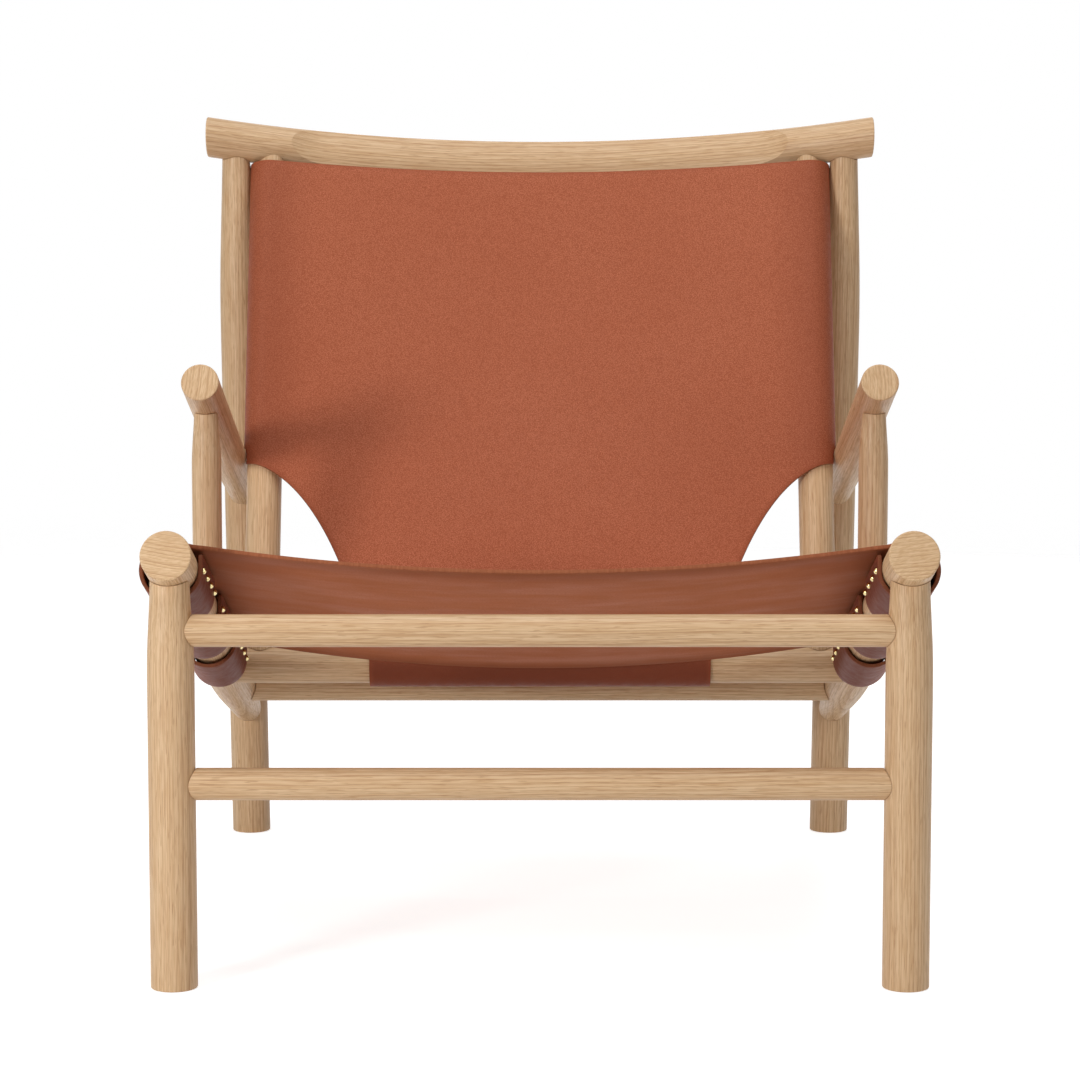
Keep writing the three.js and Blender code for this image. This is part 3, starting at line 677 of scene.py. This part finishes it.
def build_hide(name, pattern, place, grain, node):
    """A hide of even thickness with a rounded cut edge, from its flat pattern."""
    flat, triangles, rim, area = pattern
    middle = place(flat[:, 0], flat[:, 1])
    normals = point_normals(middle, triangles)
    following = boundary(triangles)
    before = {b: a for a, b in following.items()}
    count = len(flat)
    edge = list(following)
    order = {point: i for i, point in enumerate(edge)}
    tangent = middle[[following[p] for p in edge]] - middle[[before[p] for p in edge]]
    outward = np.cross(tangent, normals[edge])
    outward /= np.linalg.norm(outward, axis=1)[:, None]
    points = [middle + normals * HIDE / 2, middle - normals * HIDE / 2]
    for step in range(1, RIM_STEPS):
        turn = math.pi * step / RIM_STEPS
        level = abs(math.cos(turn)) ** RIM_SQUARENESS
        lift = math.copysign(level, math.cos(turn)) * HIDE / 2
        bulge = math.sin(turn) ** RIM_SQUARENESS * RIM_BULGE
        points.append(middle[edge] + normals[edge] * lift + outward * bulge)

    def ring(point, step):
        if step == 0:
            return point
        if step == RIM_STEPS:
            return count + point
        return 2 * count + (step - 1) * len(edge) + order[point]

    faces = [tuple(t) for t in triangles.tolist()]
    faces += [(a + count, c + count, b + count) for a, b, c in triangles.tolist()]
    for a, b in following.items():
        for step in range(RIM_STEPS):
            faces.append((ring(a, step), ring(a, step + 1), ring(b, step + 1), ring(b, step)))
    where = np.column_stack([flat, rim])
    where = np.concatenate([where, where, *[where[edge]] * (RIM_STEPS - 1)])
    piece = new_piece(name, np.concatenate(points), faces, {"hide": where}, [node])
    for material in (grain, flesh, cut_edge):
        piece.data.materials.append(material)
    index = [0] * len(triangles) + [1] * len(triangles) + [2] * (len(faces) - 2 * len(triangles))
    piece.data.polygons.foreach_set("material_index", index)
    return piece, area


def grid_steps(low, high, step):
    """Even steps from one value to another."""
    return np.linspace(low, high, max(2, round((high - low) / step) + 1))


def hide_columns(sheet, half):
    """Grid lines across a hide: wide on its sheet, close together round its loops."""
    loop = grid_steps(sheet, half, LOOP_STEP)
    return np.concatenate([-loop[::-1], grid_steps(-sheet, sheet, SPAN_STEP)[1:-1], loop])


def section_length(line, until):
    """Distance along a half section from its middle to a point number."""
    return float(np.linalg.norm(np.diff(line[: until + 1], axis=0), axis=1).sum())


def make_seat():
    """The seat: laid over both rails, with three loops a side that come up inside them."""
    radius = RAIL + HIDE_CLEARANCE + HIDE / 2

    def section(sag):
        sheet = hung_sheet(radius, SEAT_DEPARTURE, SEAT_SHOULDER, SEAT_HANG, HALF_SPAN, sag)
        return sling_section(sheet, radius, LOOP_SLACK, SEAT_DEPARTURE, HALF_SPAN)

    lines = [section(SEAT_SAG_FRONT), section(SEAT_SAG_REAR)]
    sheet = section_length(lines[0], SHEET_END)
    half = section_length(lines[0], LOOP_END) + TAIL
    sling = Sling([SEAT_FRONT, SEAT_FRONT + SEAT_DEPTH], lines, half)

    def place(across, along):
        x, lift = sling.section_at(across, along)
        return all_in_cradle(np.stack([x, along, lift], 1))

    front, rear = SEAT_FRONT, SEAT_FRONT + SEAT_DEPTH
    arm_post = ARM_POST_SETBACK / math.cos(PITCH) - RAIL * math.tan(PITCH)
    slots = [(SEAT_FRONT + FRONT_SLOT_SETBACK, FRONT_SLOT_WIDTH), (arm_post, ARM_POST_SLOT_WIDTH)]
    inner = sheet - (SLOT_REACH - radius * math.sin(SEAT_DEPARTURE))

    def front_edge(across):
        """How far back the front edge starts, to pass behind the front leg under the rail."""
        x, lift = (float(v[0]) for v in sling.section_at(np.array([across]), np.array([front])))
        reach = FRONT_LEG_TOP + HIDE / 2 + HIDE_NOTCH
        beside = abs(x - HALF_SPAN)
        if lift > 0 or beside > reach:
            return front
        return max(front, (math.sqrt(reach**2 - beside**2) - lift * math.sin(PITCH)) / math.cos(PITCH))

    right = [(across, front_edge(across)) for across in np.arange(sheet, half - TAIL, EDGE_STEP)]
    right += corner_arc((half, front), -1)
    for setback, width in slots:
        right += corner_arc((half, setback - width / 2), 1)
        right += arc_points((inner + width / 2, setback), width / 2, 270, 90)
        right += corner_arc((half, setback + width / 2), -1)
    right += corner_arc((half, rear), 1)
    rows = grid_steps(front, rear, SPAN_STEP)
    pattern = triangulate(right, hide_columns(sheet, half), rows)
    piece, area = build_hide("seat_hide", pattern, place, seat_grain, "seat_sling")
    edges = [front, *(s + d * w / 2 for s, w in slots for d in (-1, 1)), rear]
    spots = []
    for start, stop in zip(edges[::2], edges[1::2]):
        count = int((stop - start) / NAIL_PITCH) + 1
        for i in range(count):
            along = (start + stop) / 2 + (i - (count - 1) / 2) * NAIL_PITCH
            spots += [(side * (half - TAIL), along) for side in SIDES.values()]
    nails = build_nails("seat_nails", spots, place)


def make_back():
    """The back: sleeved on both posts, scalloped below the arms, with a tongue round the back bar."""
    post = BACK_POST + HIDE_CLEARANCE + HIDE / 2
    bar = BACK_BAR + HIDE_CLEARANCE + HIDE / 2
    heights = np.linspace(0, BACK_TOP, BACK_STATIONS)

    def section(height):
        share = math.sin(math.pi / 2 * min(1, height / BACK_SAG_HEIGHT)) ** 2
        leave = BACK_DEPARTURE * share
        middle = bar - BACK_SAG * share
        sheet = stretched_sheet(post, leave, BACK_SHOULDER, BACK_FLAT, POST_SPAN, middle)
        return sling_section(sheet, post, 0, leave, POST_SPAN)

    lines = [section(height) for height in heights]
    sheet = section_length(lines[-1], SHEET_END)
    half = section_length(lines[-1], LOOP_END) + TAIL
    sling = Sling(heights, lines, half)
    wrap = math.pi * bar

    def place(across, along):
        x, lift = sling.section_at(across, along)
        turn = np.clip(-along / bar, 0, math.pi)
        tail = np.maximum(0, -along - wrap)
        y = np.where(along < 0, -bar * np.cos(turn) + (bar - lift) * np.cos(turn), -lift)
        z = np.where(along < 0, tail - bar * np.sin(turn), along)
        return all_in_cradle(np.stack([x, BACK_BAR_SETBACK + y, z], 1))

    corners = [
        (TONGUE_HALF_WIDTH, 0),
        (TONGUE_HALF_WIDTH + SCALLOP_FLARE, SCALLOP_RISE),
        (SLEEVE_REACH - SCALLOP_FLAT, SLEEVE_HEM - SCALLOP_FALL),
        (SLEEVE_REACH, SLEEVE_HEM),
    ]
    scallop = bezier(corners, SCALLOP_POINTS)
    past_arm = np.arange(SLEEVE_REACH, SLEEVE_REACH + BACK_POST, EDGE_STEP)
    beside_arm = HALF_SPAN - sling.section_at(past_arm, np.full(len(past_arm), ARM_HEIGHT))[0]
    clear = ARM + HIDE / 2 + HIDE_CLEARANCE
    over_arm = ARM_HEIGHT + np.sqrt(np.maximum(0, clear**2 - beside_arm**2))
    over_arm = np.maximum.accumulate(over_arm)
    above_arm = over_arm[-1]
    end = -wrap - TAIL
    right = corner_arc((TONGUE_HALF_WIDTH, end), -1)
    right += [tuple(point) for point in scallop]
    right += list(zip(past_arm.tolist(), over_arm.tolist()))
    right.append((half, above_arm))
    right += corner_arc((half, BACK_TOP), 1)
    rows = np.concatenate([grid_steps(end, 0, LOOP_STEP)[:-1], grid_steps(0, BACK_TOP, SPAN_STEP)])
    pattern = triangulate(right, hide_columns(sheet, half), rows)
    piece, area = build_hide("back_hide", pattern, place, back_grain, "back_sling")
    low = above_arm + NAIL_PITCH / 2
    count = int((BACK_TOP - NAIL_PITCH / 2 - low) / NAIL_PITCH) + 1
    spots = [(side * (half - TAIL), BACK_TOP - NAIL_PITCH / 2 - i * NAIL_PITCH)
             for i in range(count) for side in SIDES.values()]
    count = int(2 * TONGUE_HALF_WIDTH / NAIL_PITCH)
    spots += [((i - (count - 1) / 2) * NAIL_PITCH, -wrap) for i in range(count)]
    nails = build_nails("back_nails", spots, place)


# Nails
def build_nails(name, spots, place):
    """Domed nail heads on the grain side of a hide."""
    where = np.array(spots)
    at = place(where[:, 0], where[:, 1])
    over = place(where[:, 0] + NAIL_PROBE, where[:, 1]) - at
    up = place(where[:, 0], where[:, 1] + NAIL_PROBE) - at
    normal = np.cross(over, up)
    normal /= np.linalg.norm(normal, axis=1)[:, None]
    over /= np.linalg.norm(over, axis=1)[:, None]
    up = np.cross(normal, over)
    turn = np.linspace(0, 2 * math.pi, NAIL_SIDES, endpoint=False)
    rings = [(NAIL_RADIUS * NAIL_FOOT_SHARE, -NAIL_SINK), (NAIL_RADIUS, NAIL_LIP)]
    for step in range(1, NAIL_STEPS):
        rise = math.pi / 2 * step / NAIL_STEPS
        lift = NAIL_LIP + (NAIL_HEIGHT - NAIL_LIP) * math.sin(rise)
        rings.append((NAIL_RADIUS * math.cos(rise), lift))
    points, faces = [], []
    for k in range(len(where)):
        base = len(points)
        foot = at[k] + normal[k] * HIDE / 2
        for radius, lift in rings:
            for a in turn:
                out = math.cos(a) * over[k] + math.sin(a) * up[k]
                points.append(foot + normal[k] * lift + radius * out)
        points.append(foot - normal[k] * NAIL_SINK)
        points.append(foot + normal[k] * NAIL_HEIGHT)
        faces += [tuple(base + i for i in f) for f in ring_faces(NAIL_SIDES, len(rings))]
    piece = new_piece(name, points, faces, {})
    piece.data.materials.append(brass)
    return piece


# Materials
WHITE = (1, 1, 1, 1)
OAK_PALE, OAK_WARM = (0.715, 0.508, 0.306), (0.670, 0.463, 0.272)
OAK_THIN_RING, OAK_LATE_WOOD = (0.455, 0.236, 0.088), (0.350, 0.152, 0.050)
OAK_FIBRE, OAK_PORE = (0.458, 0.240, 0.092), (0.310, 0.135, 0.042)
# The flesh side's paler streaks are partly its own streaks and partly painted sheen
FLESH_DARK, FLESH_PALE_SHEEN = (0.505, 0.168, 0.077), (0.555, 0.218, 0.128)
FLESH_CLOUD, FLESH_FIBRE = (0.450, 0.136, 0.050), (0.330, 0.100, 0.044)
# Painted shade on the flesh side, towards its folds and near its cut edges
FLESH_FOLD_SHADE, FLESH_EDGE_SHADE = (0.240, 0.072, 0.031), (0.240, 0.070, 0.030)
EDGE_DARK, EDGE_PALE = (0.270, 0.083, 0.036), (0.360, 0.122, 0.055)
# Painted shade on the cut edge round the loops
EDGE_LOOP_SHADE = (0.120, 0.036, 0.017)
BRASS_BRIGHT, BRASS_DULL = (0.860, 0.740, 0.390), (0.780, 0.630, 0.300)
BEECH_PALE, BEECH_FLECK = (0.600, 0.420, 0.260), (0.480, 0.310, 0.180)
FLOOR_GREY, FLOOR_PALE = (0.78, 0.78, 0.78), (0.82, 0.82, 0.82)

# Growth rings: how far the tree's middle is, how far they wander, where each ends, and their strength
PITH_AWAY = 0.25
RING_SWAY, RING_RIPPLE = 0.022, 0.0005
RING_EDGE = 0.94
THIN_SHARE, LATE_SHARE = 0.50, 0.86

# Reach of the hides' painted shade at folds, where they turn under, round the loops and towards the
# flesh side's folds and cut edges, and of the grain side's darker cut edges
FOLD_SHADE_BEFORE, FOLD_SHADE_AFTER = 0.06, 0.03
UNDER_SHADE_BEFORE, UNDER_SHADE_AFTER = 0.03, 0.01
GRAIN_RIM, FLESH_SHADE_RIM = 0.006, 0.050
FLESH_FOLD_SHADE_START, FLESH_FOLD_SHADE_END = 0.20, 0.36
LOOP_SHADE_BEFORE, LOOP_SHADE_AFTER = 0.02, 0.04


class Graph:
    """The nodes of a material or a world, made by short calls that give back their outputs."""

    def __init__(self, holder, shader="Principled BSDF"):
        holder.use_nodes = True
        self.holder = holder
        self.tree = holder.node_tree
        self.shader = self.tree.nodes[shader]

    def put(self, socket, value):
        if isinstance(value, bpy.types.NodeSocket):
            self.tree.links.new(value, socket)
        else:
            socket.default_value = value

    def new(self, kind, inputs, **settings):
        """The outputs of a new node."""
        node = self.tree.nodes.new(f"ShaderNode{kind}")
        for key, value in settings.items():
            setattr(node, key, value)
        for key, value in inputs.items():
            self.put(node.inputs[key], value)
        return node.outputs

    def set(self, **sockets):
        for key, value in sockets.items():
            self.put(self.shader.inputs[key.replace("_", " ")], value)

    def attribute(self, name):
        return self.new("Attribute", {}, attribute_name=name)["Vector"]

    def object_place(self):
        return self.new("TexCoord", {})["Object"]

    def split(self, vector):
        return self.new("SeparateXYZ", {0: vector})

    def joined(self, x, y, z):
        return self.new("CombineXYZ", {0: x, 1: y, 2: z})[0]

    def noise(self, vector, scale, detail=2.0, roughness=0.5):
        inputs = {"Vector": vector, "Scale": scale, "Detail": detail, "Roughness": roughness}
        return self.new("TexNoise", inputs)["Fac"]

    def drawn_noise(self, vector, scales, detail=2.0, roughness=0.5):
        """Noise with a scale of its own along each axis."""
        inputs = {0: vector, 1: scales}
        drawn = self.new("VectorMath", inputs, operation="MULTIPLY")[0]
        return self.noise(drawn, 1.0, detail, roughness)

    def cells(self, vector, scale, smoothness=0.6):
        inputs = {"Vector": vector, "Scale": scale, "Smoothness": smoothness}
        return self.new("TexVoronoi", inputs, feature="SMOOTH_F1")["Distance"]

    def math(self, operation, a, b=0.0):
        return self.new("Math", {0: a, 1: b}, operation=operation)[0]

    def plus(self, a, b):
        return self.math("ADD", a, b)

    def times(self, a, b):
        return self.math("MULTIPLY", a, b)

    def between(self, value, low, high, to_low=0.0, to_high=1.0):
        """A value carried smoothly from one range to another."""
        inputs = {"Value": value, 1: low, 2: high, 3: to_low, 4: to_high}
        return self.new("MapRange", inputs, interpolation_type="SMOOTHSTEP")[0]

    def mix(self, factor, a, b):
        colours = [c if isinstance(c, bpy.types.NodeSocket) else (*c, 1) for c in (a, b)]
        inputs = {0: factor, 6: colours[0], 7: colours[1]}
        return self.new("Mix", inputs, data_type="RGBA")[2]

    def bump(self, height, strength, distance):
        inputs = {"Strength": strength, "Distance": distance, "Height": height}
        return self.new("Bump", inputs)["Normal"]

    def seen(self):
        """1 to the camera, in reflections and through clear things, and 0 as light on other things."""
        path = self.new("LightPath", {})
        shown = self.math("MAXIMUM", path["Is Camera Ray"], path["Is Glossy Ray"])
        return self.math("MAXIMUM", shown, path["Is Transmission Ray"])


def make_oak(name, fibre_scale, pore_share, broken):
    """Pale oak: uneven growth rings with broken late wood, fibres along the grain, and open pores."""
    g = Graph(bpy.data.materials.new(name))
    place = g.attribute("grain")
    x, y, _ = g.split(place)
    sway = g.drawn_noise(place, (5, 5, 1.8))
    ripple = g.drawn_noise(place, (70, 70, 9), 3.0, 0.6)
    from_pith = g.plus(g.math("POWER", g.plus(x, PITH_AWAY), 2), g.math("POWER", y, 2))
    ring = g.plus(g.math("SQRT", from_pith), g.times(sway, RING_SWAY))
    ring = g.plus(ring, g.times(ripple, RING_RIPPLE))

    def late_wood(spacing, uneven, sharpness, weakest):
        """Darkening towards the sharp outer edge of each ring, stronger in some rings than in others."""
        years = g.times(ring, 1 / spacing)
        drift = g.noise(g.joined(years, spacing, 0.0), 0.6, 0.0)
        years = g.plus(years, g.times(drift, uneven))
        through = g.math("FRACT", years)
        share = g.math("POWER", through, sharpness)
        share = g.times(share, g.between(through, RING_EDGE, 1.0, 1.0, 0.0))
        number = {"W": g.math("FLOOR", years)}
        strength = g.new("TexWhiteNoise", number, noise_dimensions="1D")["Value"]
        return g.times(share, g.between(strength, 0.0, 1.0, weakest, 1.0))

    late = late_wood(spacing=0.0038, uneven=1.8, sharpness=4.0, weakest=0.45)
    thin = late_wood(spacing=0.0016, uneven=1.6, sharpness=2.5, weakest=0.1)
    breaks = g.drawn_noise(place, (300, 300, 22))
    late = g.times(late, g.between(breaks, 0.38, 0.58, 1.0 - broken, 1.0))
    fibre = g.drawn_noise(place, fibre_scale, 2.0, 0.65)
    tone = g.drawn_noise(place, (45, 45, 3))
    body = g.mix(g.between(tone, 0.3, 0.7), OAK_PALE, OAK_WARM)
    body = g.mix(g.times(thin, THIN_SHARE), body, OAK_THIN_RING)
    body = g.mix(g.between(fibre, 0.38, 0.68, 0.0, 0.50), body, OAK_FIBRE)
    body = g.mix(g.times(late, LATE_SHARE), body, OAK_LATE_WOOD)
    pore = g.drawn_noise(place, (1100, 1100, 55), 1.0)
    pit = g.between(pore, 0.58, 0.68, 0.0, pore_share)
    body = g.mix(pit, body, OAK_PORE)
    g.set(Base_Color=body, Roughness=g.between(fibre, 0.3, 0.7, 0.42, 0.54), Specular_IOR_Level=0.38)
    relief = g.math("SUBTRACT", g.times(fibre, 0.35), pit)
    g.set(Normal=g.bump(relief, 0.07, 0.0003))
    return g.holder


def leather_grain(name, base, light, dark, painted_shade_colour, fold, fold_shade_share, under, pebble, roughness, gloss):
    """The outer side of a hide: fine pebbles in an even tone, painted shade at folds and where it turns
    under, and darker at cut edges.
    """
    g = Graph(bpy.data.materials.new(name))
    across, along, rim = g.split(g.attribute("hide"))
    flat = g.joined(across, along, 0.0)
    cloud = g.noise(flat, 6.0)
    colour = g.mix(g.between(cloud, 0.30, 0.70), base, light)
    mottle = g.noise(flat, 90.0, 3.0, 0.6)
    colour = g.mix(g.between(mottle, 0.45, 0.75, 0.0, 0.10), colour, dark)
    cell = g.cells(flat, 820.0)
    fine = g.noise(flat, 1150.0, 2.0, 0.7)
    colour = g.mix(g.between(fine, 0.38, 0.62, 0.0, 0.82), colour, dark)
    colour = g.mix(g.between(cell, 0.35, 0.65, 0.0, 0.58), colour, dark)
    out = g.math("ABSOLUTE", across)
    # Painted shade: darker towards the folds round the rails and posts, and where the hide turns under
    # the back bar
    fold_shade = g.between(out, fold - FOLD_SHADE_BEFORE, fold + FOLD_SHADE_AFTER, 0.0, fold_shade_share)
    turned = g.between(along, under + UNDER_SHADE_BEFORE, under - UNDER_SHADE_AFTER, 0.0, 0.95)
    colour = g.mix(g.math("MAXIMUM", fold_shade, turned), colour, painted_shade_colour)
    colour = g.mix(g.between(rim, 0.0, GRAIN_RIM, 0.45, 0.0), colour, dark)
    g.set(Base_Color=colour, Specular_IOR_Level=gloss)
    g.set(Roughness=g.between(mottle, 0.3, 0.7, roughness - 0.05, roughness + 0.07))
    height = g.math("SUBTRACT", g.times(fine, 0.5), g.times(cell, 0.9))
    g.set(Normal=g.bump(height, pebble, 0.0006))
    return g.holder


def make_flesh():
    """The slicked underside of the hides: soft clouds, streaks that are partly painted sheen, and
    painted shade towards the folds and the cut edges.
    """
    g = Graph(bpy.data.materials.new("leather_flesh_side"))
    across, along, rim = g.split(g.attribute("hide"))
    streak = g.noise(g.joined(g.times(across, 4.0), g.times(along, 18.0), 0.0), 1.0, 4.0, 0.6)
    cloud = g.noise(g.joined(g.times(across, 0.6), along, 3.0), 24.0, 4.0, 0.6)
    fine = g.noise(g.joined(across, along, 1.0), 500.0, 3.0, 0.6)
    # Paler streaks: partly the leather's own streaks and partly painted sheen
    colour = g.mix(g.between(streak, 0.35, 0.70), FLESH_DARK, FLESH_PALE_SHEEN)
    colour = g.mix(g.between(cloud, 0.40, 0.66, 0.0, 0.50), colour, FLESH_CLOUD)
    out = g.math("ABSOLUTE", across)
    # Painted shade towards the folds and near the cut edges
    colour = g.mix(g.between(out, FLESH_FOLD_SHADE_START, FLESH_FOLD_SHADE_END, 0.0, 0.48), colour, FLESH_FOLD_SHADE)
    colour = g.mix(g.between(fine, 0.35, 0.70, 0.0, 0.35), colour, FLESH_FIBRE)
    colour = g.mix(g.between(rim, 0.0, FLESH_SHADE_RIM, 0.60, 0.0), colour, FLESH_EDGE_SHADE)
    g.set(Base_Color=colour, Roughness=g.between(streak, 0.3, 0.7, 0.80, 0.66), Specular_IOR_Level=0.06)
    g.set(Normal=g.bump(fine, 0.12, 0.0003))
    return g.holder


def make_cut_edge():
    """The cut edge of a hide: dyed fibres, with painted shade round the loops."""
    g = Graph(bpy.data.materials.new("leather_cut_edge"))
    across, along, _ = g.split(g.attribute("hide"))
    fibre = g.noise(g.joined(across, along, 0.5), 260.0, 3.0, 0.6)
    colour = g.mix(g.between(fibre, 0.35, 0.7), EDGE_DARK, EDGE_PALE)
    out = g.math("ABSOLUTE", across)
    # Painted shade on the cut edge round the loops
    loop_shade = g.between(out, HALF_SPAN - LOOP_SHADE_BEFORE, HALF_SPAN + LOOP_SHADE_AFTER, 0.0, 0.7)
    colour = g.mix(loop_shade, colour, EDGE_LOOP_SHADE)
    g.set(Base_Color=colour, Roughness=g.between(fibre, 0.3, 0.7, 0.62, 0.75), Specular_IOR_Level=0.12)
    g.set(Normal=g.bump(fibre, 0.15, 0.0004))
    return g.holder


def make_brass():
    """Polished brass, a little dulled by handling."""
    g = Graph(bpy.data.materials.new("polished_brass"))
    wear = g.noise(g.object_place(), 420.0, 3.0, 0.6)
    g.set(Base_Color=g.mix(g.between(wear, 0.35, 0.7), BRASS_BRIGHT, BRASS_DULL))
    g.set(Metallic=1.0, Roughness=g.between(wear, 0.3, 0.7, 0.14, 0.28))
    return g.holder


def make_beech():
    """Plain beech for the dowels inside the joints."""
    g = Graph(bpy.data.materials.new("beech"))
    fleck = g.drawn_noise(g.object_place(), (300, 300, 300), 3.0, 0.6)
    g.set(Base_Color=g.mix(fleck, BEECH_PALE, BEECH_FLECK))
    g.set(Roughness=g.between(fleck, 0.3, 0.7, 0.55, 0.7), Normal=g.bump(fleck, 0.2, 0.0003))
    return g.holder


oak = make_oak("oak", (800, 800, 24), pore_share=0.38, broken=0.30)
oak_end = make_oak("oak_end_grain", (900, 110, 24), pore_share=0.0, broken=0.10)
beech = make_beech()
# The back's sleeves and its tongue under the back bar carry painted shade
back_grain = leather_grain(
    "leather_back", base=(0.528, 0.160, 0.078), light=(0.558, 0.177, 0.089), dark=(0.285, 0.066, 0.026),
    painted_shade_colour=(0.180, 0.040, 0.016), fold=POST_SPAN, fold_shade_share=0.45, under=0.0,
    pebble=0.36, roughness=0.54, gloss=0.17)
# The seat's loops carry painted shade, darkest where they turn under the rails
seat_grain = leather_grain(
    "leather_seat", base=(0.500, 0.145, 0.070), light=(0.532, 0.162, 0.079), dark=(0.270, 0.066, 0.028),
    painted_shade_colour=(0.150, 0.039, 0.023), fold=HALF_SPAN + 3 * RAIL, fold_shade_share=0.95, under=-1.0,
    pebble=0.14, roughness=0.48, gloss=0.06)
flesh = make_flesh()
cut_edge = make_cut_edge()
brass = make_brass()


# Stage
def make_floor():
    """A pale floor that keeps the chair's shadow and fades into the white around it."""
    g = Graph(bpy.data.materials.new("floor"))
    place = g.object_place()
    away = g.new("VectorMath", {0: place}, operation="LENGTH")["Value"]
    g.set(Base_Color=g.mix(g.noise(place, 3.0), FLOOR_GREY, FLOOR_PALE), Roughness=0.9)
    glow = g.between(g.seen(), 0.0, 1.0, FLOOR_BOUNCE, FLOOR_GLOW)
    g.set(Emission_Color=WHITE, Emission_Strength=glow)
    clear = g.new("BsdfTransparent", {})[0]
    fade = g.between(away, FLOOR_FADE_START, FLOOR_RADIUS)
    inputs = {0: fade, 1: g.shader.outputs[0], 2: clear}
    faded = g.new("MixShader", inputs)[0]
    g.put(g.tree.nodes["Material Output"].inputs["Surface"], faded)
    turn = np.linspace(0, 2 * math.pi, FLOOR_SIDES, endpoint=False)
    rim = [(FLOOR_RADIUS * math.cos(a), FLOOR_RADIUS * math.sin(a), 0) for a in turn]
    mesh = bpy.data.meshes.new("floor")
    mesh.from_pydata(rim, [], [range(FLOOR_SIDES)])
    mesh.materials.append(g.holder)
    floor = add_object("floor", mesh)
    floor.location.z = -FLOOR_DROP


def make_world():
    """White to the camera and in reflections, and a plain even light on everything else."""
    world = bpy.data.worlds.new("studio")
    g = Graph(world, "Background")
    g.set(Color=WHITE, Strength=g.between(g.seen(), 0.0, 1.0, WORLD_LIGHT, 1.0))
    bpy.context.scene.world = world


def add_light(name, place, target, size, power):
    """A soft square light that faces a point."""
    lamp = bpy.data.lights.new(name, "AREA")
    lamp.size = size
    lamp.energy = power
    light = add_object(name, lamp)
    light.location = place
    light.rotation_euler = (Vector(target) - Vector(place)).to_track_quat("-Z", "Y").to_euler()


def add_camera():
    data = bpy.data.cameras.new("camera")
    data.lens = CAMERA_LENS
    data.sensor_width = CAMERA_SENSOR
    camera = add_object("camera", data)
    camera.location = (0, CAMERA_Y, CAMERA_Z)
    camera.rotation_euler = (math.pi / 2 - CAMERA_TILT, 0, 0)
    bpy.context.scene.camera = camera


# Assembly
rods = frame_rods()
for index, (node, rod) in enumerate(rods.items()):
    build_rod(node, rod, index)
build_top_rail(len(rods))
make_seat()
make_back()
for node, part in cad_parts.items():
    if node.startswith("dowel_"):
        part.material_slots[0].material = beech

make_floor()
make_world()
for name, values in LIGHTS.items():
    add_light(name, *values)
add_camera()
bpy.context.scene.view_settings.view_transform = "Standard"
